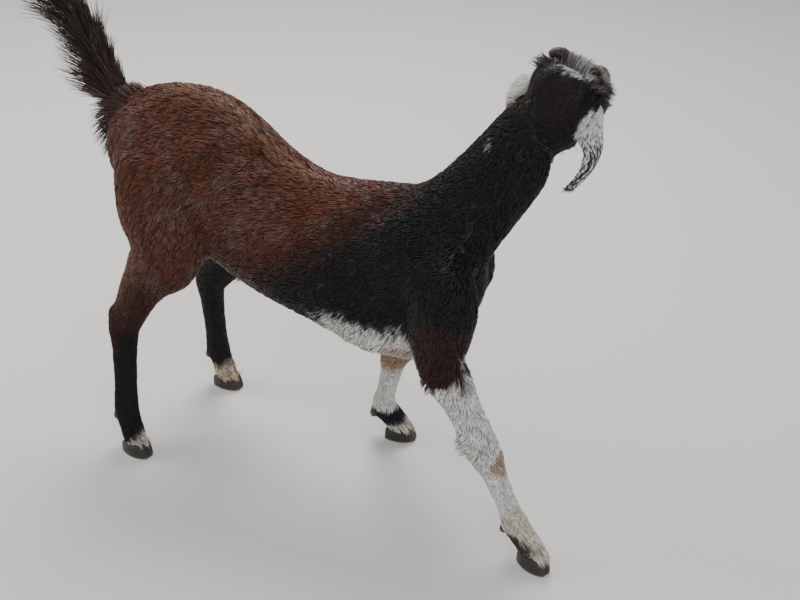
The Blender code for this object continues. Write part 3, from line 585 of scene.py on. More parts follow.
def eyeball(side, lean):
    work = bmesh.new()
    bmesh.ops.create_uvsphere(work, u_segments=96, v_segments=72, radius=1.0)
    verts = np.array([v.co for v in work.verts])
    # sorted, because the sphere lists its faces in another order each time
    faces = sorted([v.index for v in f.verts] for f in work.faces)
    work.free()
    look = eye_axes(lean)[2]
    level = unit(np.cross(look, (0, 0, 1)))
    axes = np.array([level, np.cross(level, look), look])
    flat = np.hypot(verts[:, 0], verts[:, 1])
    front = verts[:, 2] > 0
    bulge = 1 + 0.07 * ease(0.70, 0.0, flat) * front
    pupil = (np.abs(verts[:, 0]) / 0.40) ** 4 + (np.abs(verts[:, 1]) / 0.135) ** 4
    spokes = 0.5 + 0.5 * np.sin(np.arctan2(verts[:, 1], verts[:, 0]) * 46 + 5 * flat)
    iris = np.array(AMBER) * (0.65 + 0.45 * spokes)[:, None]
    iris *= (0.55 + 0.9 * ease(0.72, 0.30, flat))[:, None]
    tint = iris + (np.array(IRIS_RIM) - iris) * ease(0.64, 0.72, flat)[:, None]
    white = ease(0.80, 0.92, flat)[:, None] + (~front)[:, None]
    tint += (np.array(EYE_WHITE) - tint) * np.clip(white, 0, 1) * 0.7
    tint += (np.array(PUPIL) - tint) * (ease(1.25, 0.9, pupil) * front)[:, None]
    places = EYES[side] + (verts * (EYE_RADIUS * bulge)[:, None]) @ axes
    item = object_of("eyeball_" + side, places, faces, EYE_FINISH, tint)
    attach(item, "root")
    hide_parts("eye_" + side)


EYE_FINISH = finish_of("eye_wet", 0.12, wet=1.0)
for side, lean in SIDES:
    eyeball(side, lean)


# The lids. A thick moist rim lies against each eyeball in a slant almond, with a fold behind it,
# and runs out under the coat of the face.

LID_LONG, LID_UP, LID_DOWN = 0.0088, 0.0060, 0.0048
LID_ROWS = (
    # outwards from the opening, height over the eyeball, share that follows the face
    (-0.0006, -0.0010, 0.0), (0.0000, 0.0003, 0.0), (0.0005, 0.0013, 0.0), (0.0013, 0.0018, 0.0),
    (0.0022, 0.0017, 0.0), (0.0031, 0.0009, 0.1), (0.0040, 0.0015, 0.3), (0.0054, 0.0010, 0.6),
    (0.0072, 0.0004, 0.9), (0.0092, 0.0000, 1.0), (0.0112, 0.0000, 1.0),
)
LID_TURNS = 96
LID_BARE = (0.022, 0.016, 0.015)


def skin_tree():
    """The skin, ready to find the nearest place on it."""
    mesh = skin.data
    mesh.calc_loop_triangles()
    tris = [tuple(t.vertices) for t in mesh.loop_triangles]
    return BVHTree.FromPolygons([v.co for v in mesh.vertices], tris)


SKIN_TREE = skin_tree()


def face_outwards(item, look=None):
    """Turns the faces outwards, or an open piece's the way it looks."""
    work = bmesh.new()
    work.from_mesh(item.data)
    bmesh.ops.recalc_face_normals(work, faces=work.faces)
    if look is not None and sum(f.normal.dot(Vector(look)) for f in work.faces) < 0:
        bmesh.ops.reverse_faces(work, faces=work.faces)
    work.to_mesh(item.data)
    work.free()


def lid_point(side, lean, row, turn):
    """A place on the lids: which ring outwards, and how far round the opening."""
    along, up, look = eye_axes(lean)
    outset, height, follow = LID_ROWS[row]
    c, s = math.cos(turn), math.sin(turn)
    high = LID_UP if s > 0 else LID_DOWN
    u, v = LID_LONG * c, high * s * (0.72 + 0.28 * abs(s))
    u, v = u + outset * c, v + outset * s
    rise = math.sqrt(max((EYE_RADIUS + height) ** 2 - u * u - v * v, 0.0))
    on_ball = EYES[side] + along * u + up * v + look * rise
    if follow == 0:
        return on_ball
    probe = Vector(EYES[side] + along * u + up * v + look * 0.030)
    hit, normal, _, _ = SKIN_TREE.ray_cast(probe, Vector(-look))
    sunk = 0.0006 if row == len(LID_ROWS) - 1 else -0.0006
    face = np.array(hit) - np.array(normal) * sunk
    return on_ball + (face - on_ball) * follow


def lids(side, lean):
    verts, tint = [], []
    for row in range(len(LID_ROWS)):
        for k in range(LID_TURNS):
            verts.append(lid_point(side, lean, row, 2 * math.pi * k / LID_TURNS))
            tint.append(np.array(LID_BARE) * (1 - 0.5 * ease(5, 1, row)))
    faces = [face[::lean] for face in bands(len(LID_ROWS), LID_TURNS)]
    item = object_of("lids_" + side, verts, faces, LID_SKIN, np.array(tint))
    face_outwards(item, eye_axes(lean)[2])
    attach(item, "root")


LID_SKIN = grain_on(finish_of("lid_skin", 0.38), 1400.0, 0.3)
for side, lean in SIDES:
    lids(side, lean)


# The lashes and whiskers. One Geometry Nodes tree grows a bent, tapered bristle from every point
# it is given, along the point's own way: a row on each upper lid, and a scatter round the lips.

BRISTLE_RINGS, BRISTLE_SIDES = 7, 5
BRISTLE_INPUTS = (("Points", "Geometry"), ("Thickness", "Float"), ("Bend", "Float"), ("Seed", "Int"),
                  ("Material", "Material"))
BRISTLE_NODES = {
    "in": "NodeGroupInput", "out": "NodeGroupOutput", "end": "ShaderNodeCombineXYZ",
    "arc": "GeometryNodeCurveQuadraticBezier", "round": "GeometryNodeCurvePrimitiveCircle",
    "along": "GeometryNodeSplineParameter", "taper": "ShaderNodeMapRange",
    "body": "GeometryNodeCurveToMesh", "way": "GeometryNodeInputNamedAttribute",
    "reach": "GeometryNodeInputNamedAttribute", "stand": "FunctionNodeAlignRotationToVector",
    "spin": "FunctionNodeRandomValue", "twist": "ShaderNodeCombineXYZ",
    "turn": "FunctionNodeRotateRotation", "plant": "GeometryNodeInstanceOnPoints",
    "whole": "GeometryNodeRealizeInstances", "finish": "GeometryNodeSetMaterial",
}
BRISTLE_VALUES = (
    ("end", "Z", 1.0), ("arc", "Resolution", BRISTLE_RINGS), ("arc", "Start", (0, 0, 0)),
    ("arc", "Middle", (0, 0, 0.5)), ("round", "Resolution", BRISTLE_SIDES),
    ("round", "Radius", 1.0), ("taper", "To Max", 0.0), ("body", "Fill Caps", True),
    ("way", "Name", "way"), ("reach", "Name", "reach"), ("spin", 3, 2 * math.pi),
)
BRISTLE_LINKS = (
    # a bent, tapered bristle of length 1
    ("in", "Bend", "end", "X"), ("end", "Vector", "arc", "End"), ("along", "Factor", "taper", "Value"),
    ("in", "Thickness", "taper", "To Min"), ("arc", "Curve", "body", "Curve"),
    ("round", "Curve", "body", "Profile Curve"), ("taper", "Result", "body", "Scale"),
    # turned to each point's way and spun about it
    ("way", "Attribute", "stand", "Vector"), ("in", "Seed", "spin", "Seed"),
    ("spin", 1, "twist", "Z"), ("stand", "Rotation", "turn", "Rotation"),
    ("twist", "Vector", "turn", "Rotate By"),
    # planted and finished
    ("in", "Points", "plant", "Points"), ("body", "Mesh", "plant", "Instance"),
    ("turn", "Rotation", "plant", "Rotation"), ("reach", "Attribute", "plant", "Scale"),
    ("plant", "Instances", "whole", "Geometry"), ("whole", "Geometry", "finish", "Geometry"),
    ("in", "Material", "finish", "Material"), ("finish", "Geometry", "out", "Bristles"),
)


def bristle_tree():
    """Points with a way and a reach in, bristles out."""
    tree = bpy.data.node_groups.new("bristles", "GeometryNodeTree")
    for label, kind in BRISTLE_INPUTS:
        tree.interface.new_socket(label, in_out="INPUT", socket_type="NodeSocket" + kind)
    tree.interface.new_socket("Bristles", in_out="OUTPUT", socket_type="NodeSocketGeometry")
    made = {label: tree.nodes.new(kind) for label, kind in BRISTLE_NODES.items()}
    made["way"].data_type = "FLOAT_VECTOR"
    made["reach"].data_type = made["spin"].data_type = "FLOAT"
    made["stand"].axis = "Z"
    made["turn"].rotation_space = "LOCAL"
    for label, entry, value in BRISTLE_VALUES:
        made[label].inputs[entry].default_value = value
    join(tree, *((made[source], out, made[target], into)
                 for source, out, target, into in BRISTLE_LINKS))
    return tree


BRISTLES = bristle_tree()
BRISTLE_HAIR = finish_of("bristle_hair", 0.40, (0.010, 0.008, 0.007))


def bristles(name, roots, ways, reaches, thickness, bend, seed):
    """Bristles as a plain mesh; thickness and bend are shares of each one's length."""
    mesh = bpy.data.meshes.new(name)
    mesh.from_pydata([tuple(root) for root in roots], [], [])
    mesh.attributes.new("way", "FLOAT_VECTOR", "POINT").data.foreach_set(
        "vector", unit(ways).astype(np.float32).ravel())
    mesh.attributes.new("reach", "FLOAT", "POINT").data.foreach_set(
        "value", np.asarray(reaches, np.float32))
    item = placed(name, mesh)
    grow = item.modifiers.new("grow", "NODES")
    grow.node_group = BRISTLES
    values = {"Thickness": thickness, "Bend": bend, "Seed": seed, "Material": BRISTLE_HAIR}
    for socket in BRISTLES.interface.items_tree:
        if socket.in_out == "INPUT" and socket.name in values:
            grow[socket.identifier] = values[socket.name]
    bake_modifiers(item)
    item.data.polygons.foreach_set("use_smooth", np.ones(len(item.data.polygons), bool))
    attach(item, "root")


def lashes(side, lean):
    """A row along the upper lid, longest in the middle, pointing out and a little down."""
    along, up, look = eye_axes(lean)
    draw = np.random.default_rng(45)
    roots, ways, reaches = [], [], []
    for turn in np.radians(np.linspace(14, 166, 42)):
        c, s = math.cos(turn), math.sin(turn)
        u, v = (LID_LONG + 0.0009) * c, (LID_UP * (0.72 + 0.28 * s) + 0.0009) * s
        reach = EYE_RADIUS + 0.0014
        rise = math.sqrt(reach ** 2 - u * u - v * v)
        roots.append(EYES[side] + along * u + up * v + look * rise)
        ways.append(look * 0.85 + up * 0.25 + along * (0.55 * c) + 0.08 * draw.normal(size=3))
        reaches.append(0.0035 + 0.0035 * s + draw.uniform(-0.0005, 0.0008))
    bristles("lashes_" + side, roots, np.array(ways), reaches, 0.022, 0.05, 46)


def whiskers():
    """Thin stiff hairs from the lips and the chin."""
    draw = np.random.default_rng(47)
    roots, ways, reaches = [], [], []
    for lean in (-1, 1):
        for k in range(26):
            low = k % 2
            spot = on_head(draw.uniform(0.138, 0.168), lean * draw.uniform(0.006, 0.024),
                           draw.uniform(-0.047, -0.038) if not low else -0.062)
            place, normal, _, _ = SKIN_TREE.find_nearest(Vector(spot))
            normal = np.array(normal)
            roots.append(np.array(place) - normal * 0.0008)
            ways.append(normal + LEFT * (0.5 * lean) - FACE * 0.2 - CROWN * (0.3 + 0.4 * low)
                        + 0.2 * draw.normal(size=3))
            reaches.append(draw.uniform(0.008, 0.017))
    bristles("whiskers", roots, np.array(ways), reaches, 0.012, 0.18, 48)


for side, lean in SIDES:
    lashes(side, lean)
whiskers()


# The ears. Long hanging leaves of thin gristle, rolled to a cup at the root, with the hollow
# turned to the head. White outside with black speckles and a dark tip, pink and bare inside.

EAR_ROOT = (0.006, 0.0385, -0.030)
EAR_PATH = {
    # centre, then the way the back of the ear faces
    "right": (
        ((0.417, 0.052, 0.650), (0.80, -0.60, 0.25)), ((0.424, 0.047, 0.629), (0.92, -0.38, 0.0)),
        ((0.430, 0.045, 0.603), (0.97, -0.25, 0.0)), ((0.420, 0.044, 0.575), (0.95, -0.30, -0.3)),
        ((0.401, 0.046, 0.547), (0.75, -0.50, -0.6)),
    ),
    "left": (
        ((0.315, 0.053, 0.670), (-0.85, -0.40, 0.3)), ((0.302, 0.059, 0.648), (-0.95, -0.20, 0.2)),
        ((0.295, 0.074, 0.616), (-0.95, 0.10, 0.0)), ((0.295, 0.088, 0.582), (-0.90, 0.30, 0.0)),
        ((0.302, 0.097, 0.554), (-0.80, 0.40, -0.3)),
    ),
}
EAR_ROOT_HALF, EAR_ROOT_CUP = 0.0085, 0.013
EAR_WIDTHS = ((0.0170, 0.013), (0.0205, 0.012), (0.0155, 0.009), (0.0135, 0.006), (0.0075, 0.003))
EAR_STEPS, EAR_SPOTS, EAR_THICK = 22, 28, 0.0022
EAR_DARK, EAR_PINK = (0.016, 0.014, 0.015), (0.52, 0.36, 0.33)


def ear_tint(points, along, inside):
    """White with speckles that gather towards a dark tip; pink and thinly haired inside."""
    specks = ripple(points, 0.0060, 21) + 0.6 * ripple(points, 0.0030, 22)
    dark = ease(0.50, 0.90, specks + 1.0 * ease(0.30, 0.62, along)) * ease(0.16, 0.32, along)
    flecks = ease(0.75, 1.05, ripple(points, 0.013, 23)) * ease(0.34, 0.24, along)
    dark = np.maximum.reduce([dark, flecks, ease(0.90, 0.96, along + 0.02 * specks)])
    tint = np.array(WHITE) + (np.array(EAR_DARK) - np.array(WHITE)) * dark[:, None]
    pink = np.array(EAR_PINK) * (1 - 0.6 * dark[:, None])
    return tint + (pink - tint) * inside[:, None]


def flat_map(item, uv):
    """Lays the mesh out flat by a place for each of its points."""
    corners = np.empty(len(item.data.loops), np.int32)
    item.data.loops.foreach_get("vertex_index", corners)
    layer = item.data.uv_layers.new(name="OFBake")
    layer.data.foreach_set("uv", np.array(uv, np.float32)[corners].ravel())


def ear(side, lean):
    first = LEFT * (0.7 * lean) + CROWN * 0.45 - FACE * 0.5
    root = on_head(EAR_ROOT[0], lean * EAR_ROOT[1], EAR_ROOT[2])
    rows = [[*root, EAR_ROOT_HALF, EAR_ROOT_CUP, *first]]
    for (place, out), (half, cup) in zip(EAR_PATH[side], EAR_WIDTHS):
        rows.append([*place, half, cup, *out])
    run = spline(rows, EAR_STEPS)
    centres, tangent = run[:, :3], unit(np.gradient(run[:, :3], axis=0))
    out = run[:, 5:8]
    out = unit(out - tangent * (out * tangent).sum(axis=1, keepdims=True))
    across = np.cross(tangent, out)
    spread = np.linspace(-1, 1, EAR_SPOTS + 1)
    ring = [(s, 1) for s in spread] + [(s, -1) for s in spread[::-1]]
    count = len(ring)
    verts, uv, along, inside = [], [], [], []
    for i in range(len(run)):
        share = i / (len(run) - 1)
        wave = 0.0011 * math.sin(17 * share) * lean
        for k, (s, layer) in enumerate(ring):
            lean_by = math.sin(s * math.pi / 2) * run[i, 3]
            sink = run[i, 4] * (1 - math.cos(s * math.pi / 2)) + wave * s * s
            rim = math.sqrt(max(1 - s ** 4, 0.10))
            away = out[i] * math.cos(s) + across[i] * math.sin(s)
            thick = EAR_THICK * rim * (1 - 0.4 * share) / 2
            vein = 0.0004 * max(0.0, math.cos(s * 9)) * (layer < 0)
            verts.append(centres[i] + across[i] * lean_by - out[i] * sink
                         + away * (layer * (thick + vein)))
            uv.append((0.04 + 0.92 * k / count, 0.04 + 0.92 * share))
            along.append(share)
            inside.append(float(layer < 0) * (1 - abs(s) ** 6))
    verts, along, inside = np.array(verts), np.array(along), np.array(inside)
    faces = bands(len(run), count)
    faces += [tuple(range(count)), tuple(range(len(verts) - count, len(verts)))]
    item = object_of("ear_skin_" + side, verts, faces, EAR_SKIN,
                     0.8 * ear_tint(verts, along, inside))
    face_outwards(item)
    flat_map(item, uv)
    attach(item, "root")
    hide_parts("ear_" + side)
    return item, along, inside


EAR_SKIN = grain_on(finish_of("ear_skin", 0.6), 1100.0, 0.25)
ears = {side: ear(side, lean) for side, lean in SIDES}


# The horns. Two blunt stubs of dark horn that lean out and back, ringed by their growth, paler
# and flaking at the tip.

# the left horn's colours are much darker than the right's: painted shade on the same horn
HORN_DARK_WITH_SHADE = {"right": (0.046, 0.034, 0.026), "left": (0.014, 0.008, 0.006)}
HORN_PALE_WITH_SHADE = {"right": (0.200, 0.160, 0.120), "left": (0.034, 0.022, 0.016)}
HORN_PATH = (
    # places on the left of the head, then half the thickness
    (0.0100, 0.0120, -0.0040, 0.0092), (0.0090, 0.0165, 0.0075, 0.0092),
    (0.0060, 0.0265, 0.0105, 0.0088), (0.0020, 0.0345, 0.0060, 0.0074),
    (-0.0010, 0.0385, 0.0015, 0.0034),
)


def horn(side, lean):
    rows = [[*on_head(x, lean * y, z), half, half * 0.90, *(-FACE)] for x, y, z, half in HORN_PATH]
    verts, faces = tube(rows, 40, 14)
    line = spline([row[:3] for row in rows], 14)
    spot = np.linalg.norm(verts[:, None] - line[None], axis=2).argmin(axis=1)
    along = spot / (len(line) - 1)
    rings = np.sin(along * 2 * math.pi * 15 + 3.0 * ripple(verts, 0.014, 31))
    rough = ripple(verts, 0.0060, 32)
    verts = verts + unit(verts - line[spot]) * (0.00030 * rings + 0.00030 * rough)[:, None]
    tint = np.array(HORN_DARK_WITH_SHADE[side]) * (1 + 0.15 * rings + 0.35 * rough)[:, None]
    pale = ease(0.55, 0.95, along + 0.10 * rough)[:, None] * 0.7
    tint = tint + (np.array(HORN_PALE_WITH_SHADE[side]) - tint) * pale
    item = object_of("horn_stub_" + side, verts, [face[::-lean] for face in faces], HORN, tint)
    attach(item, "root")
    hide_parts("horn_" + side)


HORN = grain_on(finish_of("horn_stub", 0.5), 1500.0, 0.5)
for side, lean in SIDES:
    horn(side, lean)


# The hooves. Two claws to a foot, flat below with a straight inner wall, ridged by their growth
# and worn pale along the rim, and two small dew claws behind each fetlock.

# The joints of each leg from the elbow or stifle to the coronet, from the floor below the withers
BODY = np.array([0.1730, 0.0159, 0.0])
LEGS = {
    "front_right": ((0.094, -0.057, 0.292), (0.180, -0.064, 0.157), (0.234, -0.070, 0.060),
                    (0.266, -0.074, 0.024)),
    "front_left": ((0.040, 0.064, 0.285), (-0.042, 0.072, 0.170), (-0.064, 0.078, 0.062),
                   (-0.040, 0.086, 0.024)),
    "hind_right": ((-0.358, -0.076, 0.340), (-0.437, -0.098, 0.192), (-0.412, -0.142, 0.066),
                   (-0.388, -0.157, 0.025)),
    "hind_left": ((-0.300, 0.076, 0.340), (-0.390, 0.066, 0.202), (-0.384, 0.066, 0.072),
                  (-0.368, 0.063, 0.026)),
}
HOOF_HEADING = {"front_right": -21.0, "front_left": 16.0, "hind_right": -5.0, "hind_left": 3.0}
CORONET_AHEAD, CLAW_GAP = 0.020, 0.0011
CLAW_WALLS = (
    # along the sole, outer half width, height
    (0.0000, 0.0113, 0.0160), (0.0080, 0.0148, 0.0179), (0.0180, 0.0168, 0.0203),
    (0.0280, 0.0168, 0.0227), (0.0360, 0.0153, 0.0246), (0.0415, 0.0129, 0.0180),
    (0.0465, 0.0099, 0.0105), (0.0500, 0.0060, 0.0035),
)
DEWCLAW = ((0.0, 0.0052), (0.4, 0.0056), (0.8, 0.0042), (1.0, 0.0022))
CLAW_DARK, CLAW_PALE, DEWCLAW_DARK = (0.020, 0.016, 0.014), (0.17, 0.135, 0.10), (0.040, 0.031, 0.026)


def foot(name):
    """A foot's heel on the floor, the way its toe points and the way to its left."""
    heading = math.radians(HOOF_HEADING[name])
    ahead = np.array((math.cos(heading), math.sin(heading), 0.0))
    middle = np.array((*LEGS[name][3][:2], 0.0)) + BODY
    return middle - ahead * CORONET_AHEAD, ahead, np.array((-ahead[1], ahead[0], 0.0))


def claw_ring():
    """Round a claw, as shares of its width and height: sole, outer wall, then the sloping top."""
    ring = [(k / 6, 0.0) for k in range(7)]
    for k in range(1, 9):
        turn = k / 8 * math.pi / 2
        ring.append((1.0 - 0.16 * (1 - math.cos(turn)) - 0.02 * k / 8, math.sin(turn)))
    return ring + [(0.82 * (1 - k / 5), 1.0 - 0.04 * (k == 5)) for k in range(1, 6)]


def claw(name, inner_side):
    heel, ahead, left = foot(name)
    run = spline(CLAW_WALLS, 6)
    ring = claw_ring()
    count = len(ring)
    verts, tint = [], []
    for along, wide, high in run:
        for across, up in ring:
            place = CLAW_GAP + (wide - CLAW_GAP) * across
            rise = up * high
            ridge = 0.00022 * math.sin(rise / 0.0022 * 2 * math.pi + 0.8 * along * 100)
            place += ridge * (across > 0.9)
            hollow = 0.0009 * math.sin(math.pi * min(across, 1.0)) * (up == 0.0)
            verts.append(heel + ahead * along + left * (inner_side * place)
                         + np.array((0, 0, rise + hollow)))
            tint.append(1.0 + 900 * ridge)
    verts = np.array(verts)
    faces = bands(len(run), count)
    faces += [tuple(range(count)), tuple(range(len(verts) - count, len(verts)))]
    colour = np.array(CLAW_DARK) * np.array(tint)[:, None]
    streak = 1 + 0.30 * ripple(verts * (1, 1, 0.15), 0.004, 41)
    rim = ease(0.0042, 0.0012, verts[:, 2])[:, None] * 0.7
    colour = colour * streak[:, None] + (np.array(CLAW_PALE) - colour) * rim
    part = "outer" if inner_side * (-1 if name.endswith("right") else 1) > 0 else "inner"
    item = object_of(f"claw_{name}_{part}", verts, faces, HOOF, np.clip(colour, 0.004, 1))
    face_outwards(item)
    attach(item, "root")
    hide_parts(f"hoof_{name}_{part}")


def dewclaws(name):
    """The two small claws behind a fetlock."""
    _, ahead, left = foot(name)
    fetlock = np.array(LEGS[name][2]) + BODY
    for k, part in ((-1, "a"), (1, "b")):
        base = fetlock - ahead * 0.0125 + left * (0.0085 * k) - np.array((0, 0, 0.008))
        tip = base - ahead * 0.0030 - np.array((0, 0, 0.0130))
        rows = [[*(base + (tip - base) * s), half, half * 1.1, *(-ahead)] for s, half in DEWCLAW]
        verts, faces = tube(rows, 18, 5)
        verts = verts + 0.0002 * np.sin(verts[:, 2:3] * 2 * math.pi / 0.002) * left
        item = object_of(f"dewclaw_{name}_{part}", verts, faces, HOOF,
                         np.tile(DEWCLAW_DARK, (len(verts), 1)))
        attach(item, "root")


HOOF = grain_on(finish_of("hoof_wall", 0.42), 700.0, 0.35, (1, 1, 3))
for name in LEGS:
    claw(name, -1)
    claw(name, 1)
    dewclaws(name)


# The coat. Short flat hair in thin pointed locks that overlap from the nose backwards and down
# the legs, gathered in clumps and longest on the breast, belly and knees. Each lock is a closed
# bent spike that grows from the skin and lies in a small patch of its own on the skin's flat map.

COMB = (
    # place, reach, way the hair lies, then length, lift, half width and spacing in millimetres
    ((-0.170, 0.012, 0.580), 0.09, (-0.90, 0, -0.20), 21, 3.0, 1.10, 2.9),
    ((-0.200, -0.075, 0.480), 0.08, (-0.55, 0, -0.85), 22, 3.4, 1.15, 2.9),
    ((-0.285, 0.012, 0.470), 0.06, (-0.15, 0, -1.00), 20, 3.4, 1.10, 2.8),
    ((-0.020, 0.012, 0.525), 0.09, (-1.00, 0, -0.15), 20, 3.0, 1.10, 2.9),
    ((-0.020, -0.070, 0.430), 0.09, (-0.80, 0, -0.60), 21, 3.2, 1.10, 2.9),
    ((0.110, -0.060, 0.400), 0.09, (-0.85, 0, -0.50), 18, 2.8, 1.00, 2.8),
    ((0.190, 0.012, 0.500), 0.07, (-1.00, 0, -0.20), 20, 3.2, 1.05, 2.8),
    ((0.220, -0.070, 0.400), 0.08, (-0.45, 0, -0.90), 17, 2.6, 1.00, 2.7),
    ((0.050, 0.012, 0.285), 0.08, (-1.00, 0, -0.25), 20, 3.2, 1.05, 2.8),
    ((0.165, 0.012, 0.280), 0.05, (-0.45, 0, -0.90), 30, 8.0, 1.10, 2.5),
    ((0.300, 0.012, 0.380), 0.06, (-0.05, 0, -1.00), 20, 3.4, 1.05, 2.7),
    ((0.270, -0.020, 0.500), 0.07, (-0.75, -0.10, -0.65), 18, 2.6, 1.00, 2.7),
    ((0.325, 0.010, 0.590), 0.06, (-0.50, 0.05, -0.85), 16, 2.3, 0.95, 2.6),
    ((0.365, 0.035, 0.665), 0.045, (-0.60, -0.15, -0.75), 14, 2.2, 0.90, 2.4),
    ((-0.180, -0.085, 0.390), 0.07, (-0.35, -0.05, -0.95), 19, 3.0, 1.05, 2.7),
    ((-0.220, -0.085, 0.290), 0.05, (-0.60, -0.10, -0.80), 15, 2.4, 0.95, 2.4),
    ((0.260, -0.060, 0.300), 0.05, (-0.10, 0, -1.00), 17, 2.6, 1.00, 2.5),
)
PAINTED_SHEEN_PATCHES = (
    # centre and radii of patches of painted sheen, laid on as many grey hair tips: the thigh, the hip
    # and the flank
    ((-0.150, -0.083, 0.420), (0.035, 0.06, 0.075)), ((-0.241, -0.039, 0.522), (0.020, 0.03, 0.025)),
    ((-0.030, -0.062, 0.440), (0.075, 0.06, 0.045)),
)
# length, lift, half width and spacing, in millimetres
LEG_HAIR = (12.0, 1.7, 0.80, 1.95)
HEAD_HAIR = (9.5, 1.3, 0.62, 1.60)
MUZZLE_HAIR = (4.5, 0.8, 0.42, 1.15)
FEATHERS = (
    # centre, reach, extra length, extra lift and the way it hangs: long hair on some places
    ((0.318, -0.028, 0.286), 0.020, 15, 6.0, (0.55, 0.2, -0.9)),
    ((0.326, -0.060, 0.180), 0.028, 15, 7.0, (-0.80, -0.1, -0.6)),
    ((0.262, -0.060, 0.262), 0.024, 13, 5.0, (-0.30, 0.0, -1.0)),
    ((0.215, 0.085, 0.270), 0.030, 10, 3.0, (-0.20, 0.0, -1.0)),
    ((-0.088, 0.016, 0.285), 0.016, 12, 3.0, (-0.30, 0.0, -1.0)),
    ((-0.300, 0.016, 0.505), 0.030, 8, 3.0, (-0.50, 0.0, -1.0)),
    ((-0.262, -0.085, 0.200), 0.020, 6, 2.0, (-0.60, 0.0, -0.8)),
    ((0.130, -0.050, 0.295), 0.035, 12, 5.0, (-0.55, -0.1, -1.0)),
    ((0.180, -0.045, 0.290), 0.030, 14, 6.0, (-0.45, -0.1, -1.0)),
    ((0.140, 0.060, 0.295), 0.040, 12, 5.0, (-0.55, 0.1, -1.0)),
    ((0.350, -0.048, 0.225), 0.026, 8, 3.0, (0.10, 0.0, -1.0)),
    ((0.448, -0.062, 0.036), 0.024, 15, 3.0, (0.85, -0.33, -0.7)),
    ((0.150, 0.103, 0.032), 0.030, 15, 3.0, (0.8, 0.3, -0.9)),
    ((-0.190, -0.142, 0.034), 0.026, 14, 3.0, (0.8, 0.0, -0.9)),
    ((-0.178, 0.075, 0.034), 0.028, 14, 3.0, (0.8, 0.0, -0.9)),
    # white tufts before the ears' roots
    ((0.412, 0.030, 0.650), 0.018, 7, 3.5, (0.05, -0.25, -1.0)),
    ((0.322, 0.050, 0.668), 0.016, 6, 3.0, (-0.3, -0.30, -1.0)),
)
# places along a lock, and its width there; the last place is the tip
RING_SHARES = (0.0, 0.56, 1.0)
RING_WIDTHS = (0.90, 0.94)
LOCK_TRIANGLES = 10
MOST_TRIANGLES = 190000
PATCH = 0.003
# painted shade: each lock darker at its root, under the locks over it, and a little lighter than its
# colour at the tip
ROOT_PAINTED_SHADE, TIP_PAINTED_LIGHT = 0.68, 0.42
GREY_TIPS_AND_SHEEN = (0.24, 0.20, 0.19)
CLUMP_LOCKS, CLUMP_PULL = 14, 0.42
HAIR_SINK, FLOOR_GAP = 0.0010, 0.0005


def along_leg(points):
    """The way down the nearest leg at each place."""
    best, way = np.full(len(points), 1e9), np.zeros((len(points), 3))
    for joints in LEGS.values():
        places = np.array(joints) + BODY
        for start, end in zip(places[:-1], places[1:]):
            away = off_line(points, start, end)
            nearer = away < best
            best[nearer] = away[nearer]
            way[nearer] = (end - start) / np.linalg.norm(end - start)
    return way


def trunk_hair(points):
    """The way the hair of the trunk and neck lies at each place, and its sizes."""
    total = np.zeros(len(points))
    way = np.zeros((len(points), 3))
    sizes = np.zeros((len(points), 4))
    for place, reach, lie, *numbers in COMB:
        for mirror in ((1, 1) if place[1] >= 0 else (1, -1)):
            centre = np.array(place) * (1, mirror, 1) + (0, 0.025 * (mirror < 0), 0)
            off = np.linalg.norm(points - centre, axis=1)
            weight = np.exp(-(off / reach) ** 2) + 1e-5 / (off + 0.05) ** 2
            total += weight
            way += weight[:, None] * np.array(lie) * (1, mirror, 1)
            sizes += weight[:, None] * np.array(numbers)
    return way / total[:, None], sizes / total[:, None]


def comb(points):
    """At each place: the way the hair lies, its length, lift and half width, and the spacing."""
    way, sizes = trunk_hair(points)
    lower = ease(0.275, 0.205, points[:, 2])[:, None]
    way += (along_leg(points) - way) * lower
    sizes += (np.array(LEG_HAIR) - sizes) * lower
    local = to_head(points)
    near = skull_share(local, 0.052)
    on_poll = ease(0.02, -0.01, local[:, 0])
    aside = np.clip(local[:, 1:2] / 0.014, -1, 1)
    face_way = -FACE + CROWN * 0.25 * on_poll[:, None] + LEFT * (0.25 * aside)
    way += (face_way - way) * (near * (1 - 0.5 * on_poll))[:, None]
    muzzle = ease(0.10, 0.16, local[:, 0])[:, None]
    small = np.array(HEAD_HAIR) + (np.array(MUZZLE_HAIR) - HEAD_HAIR) * muzzle
    eyes = np.minimum(*(np.linalg.norm(points - EYES[side], axis=1) for side in EYES))
    small += (np.array(MUZZLE_HAIR) - small) * ease(0.026, 0.017, eyes)[:, None]
    sizes += (small - sizes) * near[:, None]
    for centre, reach, longer, lift, lie in FEATHERS:
        share = np.exp(-(np.linalg.norm(points - np.array(centre), axis=1) / reach) ** 2)
        way += (np.array(lie) - way) * share[:, None]
        sizes[:, 0] += longer * share
        sizes[:, 1] += lift * share
    drift = np.stack([ripple(points, 0.045, seed) for seed in (51, 52, 53)], axis=1)
    way = unit(way) + 0.16 * drift * (1 - 0.6 * near[:, None])
    return way, sizes * 0.001


def surface_of(item):
    """The mesh's triangles with their places, outward ways and flat-map corners."""
    mesh = item.data
    mesh.calc_loop_triangles()
    count = len(mesh.loop_triangles)
    tris, loops = np.empty(count * 3, np.int32), np.empty(count * 3, np.int32)
    mesh.loop_triangles.foreach_get("vertices", tris)
    mesh.loop_triangles.foreach_get("loops", loops)
    flat = np.empty(len(mesh.loops) * 2, np.float32)
    mesh.uv_layers["OFBake"].data.foreach_get("uv", flat)
    return {"places": places_of(mesh), "normals": normals_of(mesh), "tris": tris.reshape(-1, 3),
            "uv": flat.reshape(-1, 2)[loops].reshape(-1, 3, 2)}


